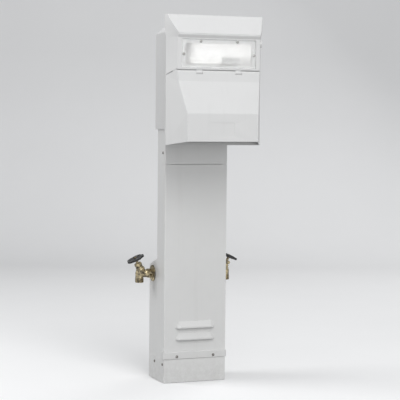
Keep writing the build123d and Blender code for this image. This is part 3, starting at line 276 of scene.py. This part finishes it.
def place_group(tree, group, **settings):
    """Copy of a shared effect with its values set."""
    node = tree.nodes.new("ShaderNodeGroup")
    node.node_tree = group
    for label, value in settings.items():
        node.inputs[label].default_value = value
    return node


def add_bump(tree, shader, height, strength, distance):
    """Height turned into a normal on the shader."""
    bump = tree.nodes.new("ShaderNodeBump")
    bump.inputs["Strength"].default_value = strength
    bump.inputs["Distance"].default_value = distance
    tree.links.new(height, bump.inputs["Height"])
    tree.links.new(bump.outputs["Normal"], shader.inputs["Normal"])


soil = (0.25, 0.23, 0.2, 1)
soil_roughness = 0.35
grain_depth = 0.0002


def coated(name, colour, rough, grain_scale, bump, blotch, runs, splash, edge, coat=0.0):
    """Painted sheet or moulded plastic that has stood out of doors."""
    material, tree, shader = new_material(name)
    age = place_group(tree, weather, Colour=(*colour, 1), Soil=soil, Blotch=blotch, Runs=runs,
                      Splash=splash, Edge=edge)
    tree.links.new(age.outputs["Colour"], shader.inputs["Base Color"])
    dirt = calc(tree, "MULTIPLY", age.outputs["Dirt"], soil_roughness)
    tree.links.new(calc(tree, "ADD", rough, dirt, clamp=True), shader.inputs["Roughness"])
    shader.inputs["Coat Weight"].default_value = coat
    shader.inputs["Coat Roughness"].default_value = 0.25
    height = place_group(tree, grain, Scale=grain_scale, Wave=0.5).outputs["Height"]
    add_bump(tree, shader, height, bump, grain_depth)
    return material


def metal(name, colour, oxide, share, scale, rough, dull_rough, bump=0.3):
    """Bare metal with patches of oxide, which are rougher."""
    material, tree, shader = new_material(name)
    age = place_group(tree, tarnish, Metal=(*colour, 1), Oxide=(*oxide, 1), Share=share, Scale=scale)
    tree.links.new(age.outputs["Colour"], shader.inputs["Base Color"])
    shader.inputs["Metallic"].default_value = 1.0
    spread = calc(tree, "MULTIPLY", age.outputs["Mask"], dull_rough - rough)
    tree.links.new(calc(tree, "ADD", rough, spread), shader.inputs["Roughness"])
    add_bump(tree, shader, age.outputs["Height"], bump, grain_depth)
    return material


# The chamber has painted light: an emission that stands in for the daylight through the lens, with painted
# shade at its left end, up to where the lamp starts, and along its floor
painted_light_start = (-0.086, -0.056)
floor_painted_shade_fade = (0.966, 1.006)
floor_painted_light_share = 0.3
painted_shade_plastic = (0.33, 0.33, 0.325, 1)
painted_light_plastic = (0.39, 0.39, 0.385, 1)


def painted_light_glow(name, colour, strength, shaded_share):
    """Chamber surface with painted light: an emission that stands in for daylight and a base colour with
    painted shade; it keeps this share of its emission at the shaded end.
    """
    material, tree, shader = new_material(name)
    place = tree.nodes.new("ShaderNodeTexCoord").outputs["Object"]
    apart = tree.nodes.new("ShaderNodeSeparateXYZ")
    tree.links.new(place, apart.inputs[0])
    rise = calc(tree, "MULTIPLY", ramp(tree, apart.outputs["Z"], *floor_painted_shade_fade), 1.0 - floor_painted_light_share)
    share = calc(tree, "MULTIPLY", ramp(tree, apart.outputs["X"], *painted_light_start),
                 calc(tree, "ADD", floor_painted_light_share, rise))
    painted_light_tint = blend_colour(tree, share, tuple(shaded_share * part for part in colour) + (1,), (*colour, 1))
    tree.links.new(painted_light_tint, shader.inputs["Emission Color"])
    shader.inputs["Emission Strength"].default_value = strength
    tree.links.new(blend_colour(tree, share, painted_shade_plastic, painted_light_plastic), shader.inputs["Base Color"])
    shader.inputs["Roughness"].default_value = 0.4
    return material


film_levels = (0.35, 0.8)
film_tint = 0.93
film_roughness = 0.12
lens_index = 1.49


def clear(name, colour, rough, shade):
    """Clear moulded lens with a faint dusty film. Most of the daylight falls through it."""
    material, tree, shader = new_material(name)
    place = tree.nodes.new("ShaderNodeTexCoord").outputs["Object"]
    film = ramp(tree, noise(tree, place, 60.0, 5.0, 0.6), *film_levels)
    filmed = tuple(film_tint * part for part in colour) + (1,)
    tree.links.new(blend_colour(tree, film, (*colour, 1), filmed), shader.inputs["Base Color"])
    dull = calc(tree, "MULTIPLY", film, film_roughness)
    tree.links.new(calc(tree, "ADD", rough, dull), shader.inputs["Roughness"])
    falls = tree.nodes.new("ShaderNodeLightPath").outputs["Is Shadow Ray"]
    open_to_light = calc(tree, "MULTIPLY", falls, 1.0 - shade)
    tree.links.new(calc(tree, "SUBTRACT", 1.0, open_to_light), shader.inputs["Alpha"])
    shader.inputs["IOR"].default_value = lens_index
    shader.inputs["Transmission Weight"].default_value = 1.0
    return material


# coated: colour, roughness, grain scale and bump, then blotches, runs, splash and chalky edges
# metal: colour, oxide, its share and scale, then roughness where bare and where dull
finishes = {
    "post_paint": coated(
        "post paint", (0.715, 0.715, 0.705), 0.42, 700.0, 0.25, 0.04, 0.05, 0.2, 0.25, coat=0.15),
    "galvanised": metal(
        "galvanised sheet", (0.62, 0.63, 0.64), (0.38, 0.39, 0.40), 0.5, 45.0, 0.38, 0.6),
    "zinc_screws": metal(
        "zinc screws", (0.34, 0.335, 0.32), (0.18, 0.165, 0.15), 0.5, 300.0, 0.42, 0.6),
    "head_moulding": coated(
        "head moulding", (0.70, 0.70, 0.695), 0.46, 900.0, 0.35, 0.03, 0.04, 0.0, 0.15),
    "hinge_steel": metal(
        "hinge steel", (0.6, 0.6, 0.6), (0.3, 0.27, 0.24), 0.3, 120.0, 0.3, 0.55),
    "lens_clear": clear("clear lens", (0.97, 0.975, 0.98), 0.28, 0.08),
    "gasket_rubber": coated(
        "pale rubber", (0.52, 0.52, 0.51), 0.7, 1200.0, 0.3, 0.1, 0.0, 0.0, 0.0),
    # The tray and the lamp take painted light: an emission that stands in for the daylight in the chamber,
    # with painted shade towards its left end and floor
    "tray_white": painted_light_glow("tray with painted light", (1.0, 0.99, 0.97), 0.54, 0.28),
    "holder_plastic": coated(
        "lamp holder plastic", (0.46, 0.46, 0.45), 0.5, 900.0, 0.3, 0.1, 0.0, 0.0, 0.1),
    "lamp_glass": painted_light_glow("lamp with painted light", (1.0, 0.99, 0.96), 0.54, 0.9),
    "photocell_lens": coated(
        "photocell cap", (0.72, 0.72, 0.71), 0.25, 900.0, 0.1, 0.05, 0.0, 0.0, 0.1, coat=0.5),
    "panel_paint": coated(
        "panel paint", (0.58, 0.58, 0.57), 0.4, 900.0, 0.25, 0.04, 0.02, 0.0, 0.2),
    "outlet_black": coated(
        "black outlet plastic", (0.025, 0.025, 0.026), 0.38, 1500.0, 0.25, 0.2, 0.03, 0.0, 0.04),
    "outlet_grey": coated(
        "grey outlet plastic", (0.42, 0.42, 0.41), 0.3, 1500.0, 0.15, 0.05, 0.0, 0.0, 0.1),
    "test_key": coated(
        "black key", (0.03, 0.03, 0.03), 0.35, 1500.0, 0.15, 0.1, 0.0, 0.0, 0.05),
    "reset_key": coated(
        "red key", (0.42, 0.035, 0.025), 0.35, 1500.0, 0.15, 0.1, 0.0, 0.0, 0.05),
    "breaker_black": coated(
        "black breaker plastic", (0.03, 0.03, 0.031), 0.5, 1300.0, 0.4, 0.2, 0.04, 0.0, 0.05),
    "handle_black": coated(
        "black handle plastic", (0.022, 0.022, 0.022), 0.32, 1500.0, 0.2, 0.1, 0.0, 0.0, 0.06),
    "bar_aluminium": metal(
        "machined aluminium", (0.78, 0.78, 0.77), (0.55, 0.55, 0.54), 0.25, 90.0, 0.28, 0.45),
    "bar_insulator": coated(
        "red insulator", (0.4, 0.05, 0.035), 0.45, 1200.0, 0.3, 0.1, 0.0, 0.0, 0.05),
    "pipe_copper": metal(
        "dull copper", (0.55, 0.27, 0.17), (0.16, 0.10, 0.08), 0.5, 40.0, 0.35, 0.6),
    "tap_brass": metal(
        "weathered brass", (0.56, 0.47, 0.29), (0.17, 0.15, 0.115), 0.5, 70.0, 0.36, 0.6, bump=0.6),
    "wheel_iron": coated(
        "dark painted iron", (0.022, 0.022, 0.023), 0.6, 900.0, 0.8, 0.4, 0.1, 0.0, 0.1),
    "wheel_screws": metal(
        "brass screws", (0.45, 0.36, 0.2), (0.1, 0.08, 0.05), 0.5, 200.0, 0.35, 0.6),
}

slot_of = {part["node"]: part["material_slot"] for part in frame["record"]["subparts"]}


weld_within = 0.000005
same_within = 0.000004


def soften(node, width, angle=28.0, segments=3):
    """Small round on the sharp edges of a solid, as moulding or folding leaves them."""
    piece = nodes[node]
    weld = piece.modifiers.new("join facets", "WELD")
    weld.merge_threshold = weld_within
    bevel = piece.modifiers.new("edge round", "BEVEL")
    bevel.width = width
    bevel.segments = segments
    bevel.limit_method = "ANGLE"
    bevel.angle_limit = radians(angle)
    bevel.use_clamp_overlap = True
    even = piece.modifiers.new("flat faces", "WEIGHTED_NORMAL")
    even.weight = 100


for name, piece in nodes.items():
    finish = finishes[slot_of[name]]
    if piece.material_slots:
        for place in piece.material_slots:
            place.material = finish
    else:
        piece.data.materials.append(finish)

moulded_round = 0.0012
folded_round = 0.0008

for name in ("door", "front_shell", "rear_housing"):
    soften(name, moulded_round)
soften("trim_strip", folded_round)

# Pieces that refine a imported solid


def joined_points(mesh):
    """Editable copy of a solid's mesh with its doubled points joined."""
    made = bmesh.new()
    made.from_mesh(mesh)
    bmesh.ops.remove_doubles(made, verts=made.verts, dist=same_within)
    return made


def closed_solids(made):
    """Points of each closed solid in a mesh."""
    left = set(made.verts)
    solids = []
    while left:
        first = left.pop()
        reached = [first]
        waiting = [first]
        while waiting:
            for edge in waiting.pop().link_edges:
                for point in edge.verts:
                    if point in left:
                        left.remove(point)
                        reached.append(point)
                        waiting.append(point)
        solids.append([point.co.copy() for point in reached])
    return sorted(solids, key=lambda points: tuple(round(part, 4) for part in points_middle(points)))


def points_middle(points):
    """Middle of the box round some points."""
    return [(min(point[axis] for point in points) + max(point[axis] for point in points)) / 2
            for axis in range(3)]


def add_piece(name, made, body, material, angle=32.0):
    """Piece from an edited mesh, riding on a body, smooth but for its sharp edges."""
    mesh = bpy.data.meshes.new(name)
    made.normal_update()
    made.to_mesh(mesh)
    made.free()
    mesh.shade_smooth()
    mesh.set_sharp_from_angle(angle=radians(angle))
    mesh.materials.clear()
    mesh.materials.append(material)
    for face in mesh.polygons:
        face.material_index = 0
    piece = bpy.data.objects.new(name, mesh)
    bpy.context.scene.collection.objects.link(piece)
    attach(piece, body)
    return piece


def bench_piece(name, made):
    """Passing object for one cut, taken away after it."""
    mesh = bpy.data.meshes.new(name)
    made.to_mesh(mesh)
    made.free()
    piece = bpy.data.objects.new(name, mesh)
    bpy.context.scene.collection.objects.link(piece)
    return piece


def cut_away(made, cutter):
    """Mesh less the cutter's room."""
    blank = bench_piece("blank", made)
    tool = bench_piece("tool", cutter)
    cut = blank.modifiers.new("cut", "BOOLEAN")
    cut.operation = "DIFFERENCE"
    cut.solver = "EXACT"
    cut.object = tool
    bpy.context.view_layer.update()
    finished = bpy.data.meshes.new_from_object(blank.evaluated_get(bpy.context.evaluated_depsgraph_get()))
    result = bmesh.new()
    result.from_mesh(finished)
    for piece in (blank, tool):
        spent = piece.data
        bpy.data.objects.remove(piece)
        bpy.data.meshes.remove(spent)
    bpy.data.meshes.remove(finished)
    if not result.faces:
        raise ValueError("nothing is left of a piece after its cut")
    return result


# Driver recesses in the screw heads

foot_length_share = 0.55
foot_width_share = 0.8
bar_above_head = 0.0006
first_spin = 11  # degrees
next_spin = 37


def sink_bar(cutter, top, turn, spin, long, wide, deep):
    """Tapered bar of a driver recess, sunk from the top of a head."""
    for point in bmesh.ops.create_cube(cutter, size=1.0)["verts"]:
        lower = point.co.z < 0
        across = point.co.x * long * (foot_length_share if lower else 1.0)
        along = point.co.y * wide * (foot_width_share if lower else 1.0)
        rise = -deep if lower else bar_above_head
        spot = Vector((across * cos(spin) - along * sin(spin), across * sin(spin) + along * cos(spin), rise))
        point.co = top + turn @ spot


def drive_screws(node, way_at, long, wide, deep, cross=True, ink=None):
    """Screws of a node with a cross or a slot in each head, each turned its own way."""
    source = nodes[node]
    made = joined_points(source.data)
    cutters = [bmesh.new() for turns in range(2 if cross else 1)]
    for index, points in enumerate(closed_solids(made)):
        turn = way_at(Vector(points_middle(points))).to_track_quat("Z", "Y").to_matrix()
        local = [turn.transposed() @ point for point in points]
        middle = points_middle(local)
        top = turn @ Vector((middle[0], middle[1], max(point.z for point in local)))
        spin = radians((index * next_spin + first_spin) % 90)
        for turns, cutter in enumerate(cutters):
            sink_bar(cutter, top, turn, spin + turns * pi / 2, long, wide, deep)
    for cutter in cutters:
        made = cut_away(made, cutter)
    slot = slot_of[node]
    piece = add_piece(node.replace("screws", "driven").replace("screw", "driven"), made,
                      source["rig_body"], ink or finishes[slot])
    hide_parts(node)


def to_front(place):
    return Vector((0, -1, 0))


def to_back(place):
    return Vector((0, 1, 0))


def to_side(place):
    return Vector((-1 if place.x < 0 else 1, 0, 0))


turn_axis = {joint["name"]: Vector(joint["axis"]) for joint in frame["joints"]}
joint_place = {joint["name"]: Vector(joint["pos_m"]) for joint in frame["joints"] if joint.get("pos_m")}

bright_screws = metal("bright zinc screws", (0.55, 0.545, 0.53), (0.34, 0.33, 0.31), 0.4, 300.0, 0.4, 0.55)

# Each row: node, way its heads look, and the length, width and depth of a recess bar
cross_recesses = [
    ("strip_screws", to_front, 0.0046, 0.0010, 0.0017),
    ("lens_screws", to_front, 0.0044, 0.0010, 0.0016),
    ("panel_screws", to_front, 0.0042, 0.0010, 0.0015),
    ("skirt_screws", to_side, 0.0046, 0.0010, 0.0017),
    ("neck_screws", to_side, 0.0046, 0.0010, 0.0016),
    ("shell_screws", to_back, 0.0042, 0.0010, 0.0015),
]
slot_recesses = [
    ("bar_screws", to_front, 0.0052, 0.0008, 0.0009),
    ("wheel_screw_left", lambda place: turn_axis["tap_left_turn"], 0.0100, 0.0012, 0.0013),
    ("wheel_screw_right", lambda place: turn_axis["tap_right_turn"], 0.0100, 0.0012, 0.0013),
]

for row in cross_recesses:
    drive_screws(*row, ink=bright_screws if row[0] == "lens_screws" else None)
for row in slot_recesses:
    drive_screws(*row, cross=False)

# Cover screws painted over

hair = 0.00005  # keeps two faces from lying in one plane
cap_sides = 32
cap_edge = 0.0001
cap_thick = 0.0003
cover_hole_radius = 0.00366


def fill_heads(node, radius, thick):
    """Screws of a node under one coat with the sheet round them, which fills the gap round each head."""
    source = nodes[node]
    made = joined_points(source.data)
    for points in closed_solids(made):
        middle = points_middle(points)
        front = min(point.y for point in points) - hair
        rings = []
        for depth, reach in ((0.0, radius - cap_edge), (cap_edge, radius), (thick, radius)):
            ring = []
            for index in range(cap_sides):
                angle = 2 * pi * index / cap_sides
                ring.append(made.verts.new((middle[0] + reach * cos(angle), front + depth,
                                            middle[2] + reach * sin(angle))))
            rings.append(ring)
        for near, far in zip(rings, rings[1:]):
            for index in range(cap_sides):
                after = (index + 1) % cap_sides
                made.faces.new((near[index], near[after], far[after], far[index]))
        made.faces.new(tuple(reversed(rings[0])))
        made.faces.new(rings[-1])
    slot = slot_of[node]
    piece = add_piece(node.replace("screws", "filled"), made, source["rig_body"], finishes[slot])
    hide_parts(node)


fill_heads("cover_screws", cover_hole_radius, cap_thick)

# Thin strips along the edges: rain lip, beads and the hood's drip edge

pin_low, pin_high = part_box("hinge_pin")
pin_middle = (pin_low + pin_high) / 2
slant = 0.5  # half-width that the head gains with each step of depth


def lay_prism(made, near, far):
    """Closed prism between two outlines of as many points."""
    ends = [[made.verts.new(place) for place in outline] for outline in (near, far)]
    for index in range(len(near)):
        after = (index + 1) % len(near)
        made.faces.new((ends[0][index], ends[0][after], ends[1][after], ends[1][index]))
    made.faces.new(ends[0])
    made.faces.new(tuple(reversed(ends[1])))


def add_strip(name, made, node, angle=32.0):
    """Strip of the same stuff as a node, riding with it."""
    bmesh.ops.recalc_face_normals(made, faces=made.faces)
    slot = slot_of[node]
    add_piece(name, made, nodes[node]["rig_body"], finishes[slot], angle)


def off_pin(across, behind, rise):
    """Place given in millimetres from the middle of the hinge pin."""
    return Vector((across / 1000, pin_middle.y + behind / 1000, pin_middle.z + rise / 1000))


def hang_rain_lip():
    """Stepped strip that narrows the hinge gap, clear of the door all through its swing."""
    # Behind and above the pin: four steps over the door's rolled edge, a drop behind it, a flange
    profile = [(-5.35, 9.45), (-5.35, 8.4), (-3.2, 8.4), (-3.2, 7.75), (-1.2, 7.75), (-1.2, 7.15),
               (0.8, 7.15), (0.8, 6.6), (2.8, 6.6), (2.8, 8.2), (7.2, 8.2), (7.2, 1.6), (7.5, 1.1),
               (8.1, 1.1), (8.4, 1.6), (8.4, 8.2), (14.0, 8.2), (14.0, 9.45)]
    eye_near, eye_far = 51.85, 72.15
    # Half-widths on the pin's line: inside the slanted face, corner strip's back, inside the wall, drop
    face_half, back_half, wall_half, drop_half = 132.55, 130.1, 129.55, 131.0
    # The sill's edge and the door's edge both fall towards the back down the slanted corners
    sill_rise, sill_fall = 9.45, 0.46
    door_rise, door_fall = 6.7, 0.4118
    corner_near, corner_far = 0.5, 13.4

    def end_at(behind):
        if behind <= 0:
            return face_half + slant * behind
        return min(drop_half, wall_half + slant * behind)

    def corner_section(side, behind):
        sill = sill_rise - sill_fall * behind
        door = door_rise - door_fall * behind
        corners = ((face_half, sill), (back_half, sill), (back_half, door), (face_half, door))
        return [off_pin(side * (half + slant * behind), behind, rise) for half, rise in corners]

    made = bmesh.new()
    for side in (-1, 1):
        lay_prism(made, [off_pin(side * eye_far, behind, rise) for behind, rise in profile],
                  [off_pin(side * end_at(behind), behind, rise) for behind, rise in profile])
        lay_prism(made, corner_section(side, corner_near), corner_section(side, corner_far))
    lay_prism(made, *([off_pin(across, behind, rise) for behind, rise in profile]
                      for across in (-eye_near, eye_near)))
    add_strip("rain_lip", made, "front_shell")


def raise_notch_floors():
    """Bead on the floor of the door's two hinge notches, hollowed round the hinge eyes."""
    profile = [(-6.7, -6.45), (-6.55, -5.4), (-3.55, -5.0), (-2.9, -5.4), (-1.9, -5.85), (-0.6, -6.12),
               (1.3, -6.2), (1.3, -6.45)]
    notch_near, notch_far = 51.7, 72.3
    made = bmesh.new()
    for ends in ((-notch_far, -notch_near), (notch_near, notch_far)):
        lay_prism(made, *([off_pin(across, behind, rise) for behind, rise in profile]
                          for across in ends))
    add_strip("notch_beads", made, "door")


def seal_strip():
    """Sealer along the trim strip: a sloped bead up to the front cover, a plain one down to the skirt."""
    strip_low, strip_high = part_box("trim_strip")
    skirt_low, skirt_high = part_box("skirt")
    short_of_side = 0.0004
    plain_thick = 0.0013
    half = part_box("post_channel")[1].x - short_of_side
    foot = strip_high.z + hair
    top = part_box("front_cover")[0].z - 2 * hair
    slope_foot, slope_top, back = (strip_low.y + depth for depth in (0.00145, 0.0024, 0.004))
    above = [(slope_foot, foot), (slope_top, top), (back, top), (back, foot)]
    low, high = skirt_high.z + hair, strip_low.z - hair
    face, inside = skirt_low.y, skirt_low.y + plain_thick
    below = [(face, low), (face, high), (inside, high), (inside, low)]
    made = bmesh.new()
    for profile in (above, below):
        lay_prism(made, *([(side * half, behind, rise) for behind, rise in profile]
                          for side in (-1, 1)))
    add_strip("strip_bead", made, "trim_strip")


def roll_hood_lip():
    """Rolled drip edge under the nose of the hood, its ends cut to the slanted sides of the head."""
    lens_low, lens_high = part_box("lens")
    lens_stands_out = 0.0004
    window = lens_low.y + lens_stands_out
    # In millimetres, ahead of the window frame and above the lens
    profile = [(6.55, 16.9), (7.1, 14.6), (6.7, 12.2), (5.2, 10.0), (0.05, 2.4), (0.05, 5.95),
               (-0.9, 6.9), (5.05, 13.9)]
    half, flare_start, flare = 130.2, 5.0, 0.2
    made = bmesh.new()
    ends = []
    for side in (-1, 1):
        end = []
        for ahead, above in profile:
            across = half - slant * ahead + max(0.0, above - flare_start) * flare
            end.append((side * across / 1000, window - ahead / 1000, lens_high.z + above / 1000))
        ends.append(end)
    lay_prism(made, *ends)
    add_strip("hood_lip", made, "front_shell", 40.0)


hang_rain_lip()
raise_notch_floors()
seal_strip()
roll_hood_lip()

# Hose threads on the spouts

thread_pitch = 0.00221
thread_long = 0.0136
thread_deep = 0.00105
thread_run_in = 0.0012
# Shares of half a turn of the thread: where the groove starts, from the crest's middle, and the flank alone
groove_from = 0.86
flank_share = 0.62
sleeve_wall = 0.0013
# Room cut from the plain spout for the sleeve
room_deep = 0.0011
room_outside = 0.002
room_below = 0.001
around = 72


def threaded_sleeve(made, centre, foot, crest, root, inside):
    """Tube with a rounded hose thread running up it, added to a mesh."""
    up = 56
    rings = []
    for step in range(up + 1):
        height = thread_long * step / up
        ring = []
        for index in range(around):
            angle = 2 * pi * index / around
            phase = (height / thread_pitch - index / around) % 1.0
            lift = min(1.0, max(0.0, (groove_from - abs(2 * phase - 1)) / flank_share))
            lift *= min(1.0, height / thread_run_in, (thread_long - height) / thread_run_in)
            radius = root + (crest - root) * max(0.0, lift)
            ring.append(made.verts.new((centre.x + radius * cos(angle), centre.y + radius * sin(angle),
                                        foot + height)))
        rings.append(ring)
    for height in (thread_long, 0.0):
        rings.append([made.verts.new((centre.x + inside * cos(2 * pi * index / around),
                                      centre.y + inside * sin(2 * pi * index / around), foot + height))
                      for index in range(around)])
    rings.append(rings[0])
    for low, high in zip(rings, rings[1:]):
        for index in range(around):
            after = (index + 1) % around
            made.faces.new((low[index], low[after], high[after], high[index]))


def turned_room(made, centre, low, high, near, far):
    """Ring-shaped cutter round an upright axis."""
    rings = []
    for radius, height in ((near, low), (far, low), (far, high), (near, high)):
        rings.append([made.verts.new((centre.x + radius * cos(2 * pi * index / around),
                                      centre.y + radius * sin(2 * pi * index / around), height))
                      for index in range(around)])
    for first, second in zip(rings, rings[1:] + rings[:1]):
        for index in range(around):
            after = (index + 1) % around
            made.faces.new((first[index], first[after], second[after], second[index]))
    bmesh.ops.recalc_face_normals(made, faces=made.faces)


mount_of = {mount["name"]: mount for mount in frame["record"]["mounts"]}

for word in ("left", "right"):
    node = "tap_body_" + word
    mount = mount_of["hose_" + word]
    centre = Vector((mount["pos_m"][0], mount["pos_m"][1], 0))
    crest = mount["dims"]["r_mm"] / 1000
    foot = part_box(node)[0].z
    room = bmesh.new()
    turned_room(room, centre, foot - room_below, foot + thread_long, crest - room_deep, crest + room_outside)
    body = cut_away(joined_points(nodes[node].data), room)
    sleeve = bmesh.new()
    threaded_sleeve(sleeve, centre, foot, crest, crest - thread_deep, crest - sleeve_wall)
    bmesh.ops.recalc_face_normals(sleeve, faces=sleeve.faces)
    part = bpy.data.meshes.new("sleeve")
    sleeve.to_mesh(part)
    sleeve.free()
    body.from_mesh(part)
    bpy.data.meshes.remove(part)
    slot = slot_of[node]
    piece = add_piece("threaded_tap_" + word, body, nodes[node]["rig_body"], finishes[slot])
    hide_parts(node)

# Sprung contacts inside the outlets

leaf_thick = 0.0003


def contact_leaf(made, middle, turn, side, tall, deep):
    """Leaf that springs in towards the blade, flared at its mouth."""
    half = tall / 2
    outline = [(0.00125, 0.0020), (0.00055, 0.0045), (0.00040, 0.0075), (0.00080, deep)]
    rings = []
    for out, depth in outline:
        corners = []
        outer = out + leaf_thick
        for gap, rise in ((out, -half), (outer, -half), (outer, half), (out, half)):
            spot = Vector((side * gap * cos(turn) - rise * sin(turn), depth,
                           side * gap * sin(turn) + rise * cos(turn)))
            corners.append(made.verts.new(middle + spot))
        rings.append(corners)
    for near, far in zip(rings, rings[1:]):
        for index in range(4):
            after = (index + 1) % 4
            made.faces.new((near[index], near[after], far[after], far[index]))
    made.faces.new(rings[0])
    made.faces.new(tuple(reversed(rings[-1])))


# Each row: place across and up from the outlet's middle, height of the leaves, turn in degrees, depth
contact_places = {
    "outlet_50": [(-0.0127, 0.0, 0.011, 0.0, 0.014), (0.0127, 0.0, 0.011, 0.0, 0.014),
                  (0.0, -0.014, 0.0076, 90.0, 0.014)],
    "outlet_30": [(-0.0086, -0.003, 0.0102, 35.0, 0.014), (0.0086, -0.003, 0.0102, -35.0, 0.014)],
    "outlet_20": [(side * 0.0063, dz + 0.0015, 0.0064, 0.0, 0.0125)
                  for side in (-1, 1) for dz in (-0.021, 0.021)],
}

for node, places in contact_places.items():
    low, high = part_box(node)
    made = bmesh.new()
    for dx, dz, tall, turn, deep in places:
        middle = Vector(((low.x + high.x) / 2 + dx, low.y, (low.z + high.z) / 2 + dz))
        for side in (-1, 1):
            contact_leaf(made, middle, -radians(turn), side, tall, deep)
    bmesh.ops.recalc_face_normals(made, faces=made.faces)
    add_piece(node.replace("outlet", "contacts"), made, "post", finishes["wheel_screws"])

# Plain numbers and switch words

marking = coated("white marking", (0.80, 0.80, 0.78), 0.5, 1500.0, 0.05, 0.08, 0.0, 0.0, 0.0)
print_half = 0.00003  # half the thickness of the print
print_gap = 0.00004
on_height, off_height = 0.0040, 0.0036
rating_height = 0.0034
number_height = 0.0095
switch_word_rise = 0.0180
handle_reach = 0.02804  # from the handle's pivot to the face of its tip
throw_on = radians(18.0)
number_rise = {"50": 0.0335, "30": 0.0335, "20": 0.0405}


def mark(name, words, size, place, tilt, body, ink=marking):
    """Thin printed words facing the front, tilted back by an angle."""
    curve = bpy.data.curves.new(name, "FONT")
    curve.body = words
    curve.size = size
    curve.extrude = print_half
    curve.align_x = "CENTER"
    curve.align_y = "CENTER"
    lettering = bpy.data.objects.new(name + "_line", curve)
    bpy.context.scene.collection.objects.link(lettering)
    bpy.context.view_layer.update()
    shape = bpy.data.meshes.new_from_object(lettering.evaluated_get(bpy.context.evaluated_depsgraph_get()))
    shape.transform(Matrix.Translation(place) @ Matrix.Rotation(radians(90) + tilt, 4, "X"))
    made = bmesh.new()
    made.from_mesh(shape)
    bpy.data.objects.remove(lettering)
    bpy.data.meshes.remove(shape)
    add_piece(name, made, body, ink)


panel_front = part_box("inner_panel")[0].y

for word in ("50", "30", "20"):
    low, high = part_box("breaker_" + word)
    middle = (low + high) / 2
    face = low.y - print_gap
    above = Vector((middle.x, face, middle.z + switch_word_rise))
    below = Vector((middle.x, face, middle.z - switch_word_rise))
    mark("on_" + word, "ON", on_height, above, 0.0, "post")
    mark("off_" + word, "OFF", off_height, below, 0.0, "post")
    pivot_depth = joint_place["breaker_" + word + "_throw"].y
    tip = Vector((middle.x, pivot_depth - handle_reach * cos(throw_on),
                  middle.z + handle_reach * sin(throw_on)))
    mark("rating_" + word, word, rating_height, tip, -throw_on, "handle_" + word)
    outlet_low, outlet_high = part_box("outlet_" + word)
    outlet_middle = (outlet_low + outlet_high) / 2
    place = Vector((outlet_middle.x, panel_front - print_gap, outlet_middle.z + number_rise[word]))
    mark("outlet_number_" + word, word, number_height, place, 0.0, "post",
         finishes["outlet_black"])

# Floor, backdrop and light


def pale_ground(name, colour, bounce):
    """Pale surface to look at that keeps the shadow and throws as little light back up as open ground."""
    material, tree, shader = new_material(name)
    place = tree.nodes.new("ShaderNodeTexCoord").outputs["Object"]
    speck = noise(tree, place, 3.0, 3.0, 0.5)
    speck_tint = 0.97
    pale = blend_colour(tree, speck, tuple(speck_tint * part for part in colour) + (1,), (*colour, 1))
    path = tree.nodes.new("ShaderNodeLightPath")
    seen = calc(tree, "ADD", path.outputs["Is Camera Ray"], path.outputs["Is Glossy Ray"], clamp=True)
    seen = calc(tree, "ADD", seen, path.outputs["Is Transmission Ray"], clamp=True)
    dull = tuple(bounce * part for part in colour) + (1,)
    tree.links.new(blend_colour(tree, seen, dull, pale), shader.inputs["Base Color"])
    shader.inputs["Roughness"].default_value = 0.9
    return material


def make_stage():
    """Pale floor that runs up into a backdrop in one sweep."""
    made = bmesh.new()
    rows = []
    turn = 1.2
    reach = 9.0
    flat_end = 3.2
    top = 6.0
    outline = [(-reach, 0.0), (flat_end, 0.0)]
    outline += [(flat_end + turn * sin(radians(step)), turn - turn * cos(radians(step)))
                for step in range(10, 91, 10)]
    outline += [(flat_end + turn, top)]
    for y, z in outline:
        rows.append([made.verts.new((x, y, z)) for x in (-reach, reach)])
    for near, far in zip(rows, rows[1:]):
        made.faces.new((near[0], near[1], far[1], far[0]))
    mesh = bpy.data.meshes.new("sweep")
    made.to_mesh(mesh)
    made.free()
    for face in mesh.polygons:
        face.use_smooth = True
    sweep = bpy.data.objects.new("sweep", mesh)
    sweep.rotation_euler.z = -view_yaw
    mesh.materials.append(pale_ground("pale sweep", (0.92, 0.92, 0.92), 0.34))
    bpy.context.scene.collection.objects.link(sweep)


def add_light(name, place, aim, size, energy):
    """Soft square lamp aimed at a point."""
    data = bpy.data.lights.new(name, "AREA")
    data.size = size
    data.energy = energy
    lamp = bpy.data.objects.new(name, data)
    lamp.location = place
    lamp.rotation_euler = (Vector(aim) - Vector(place)).to_track_quat("-Z", "Y").to_euler()
    bpy.context.scene.collection.objects.link(lamp)


# Each row: name, place, point it aims at, size and power
lamps = [
    ("sky", (-0.5, -1.7, 3.9), (0, -0.1, 0.6), 3.0, 26.0),
    ("left sky", (-3.0, 1.0, 2.4), (0, 0, 0.7), 2.0, 53.0),
    ("right sky", (2.8, 2.0, 2.6), (0, 0, 0.6), 2.4, 34.0),
    ("front sky", (-0.4, -4.2, 4.0), (0, 0, 0.5), 2.6, 95.0),
    ("low front sky", (0.2, -4.6, 1.4), (0, 0, 0.6), 2.4, 44.0),
]

make_stage()
for row in lamps:
    add_light(*row)

world = bpy.data.worlds.new("open shade")
bpy.context.scene.world = world
world.use_nodes = True
sky = world.node_tree.nodes["Background"]
sky.inputs["Color"].default_value = (0.95, 0.97, 1.0, 1)
sky.inputs["Strength"].default_value = 0.42
bpy.context.scene.view_settings.view_transform = "Standard"
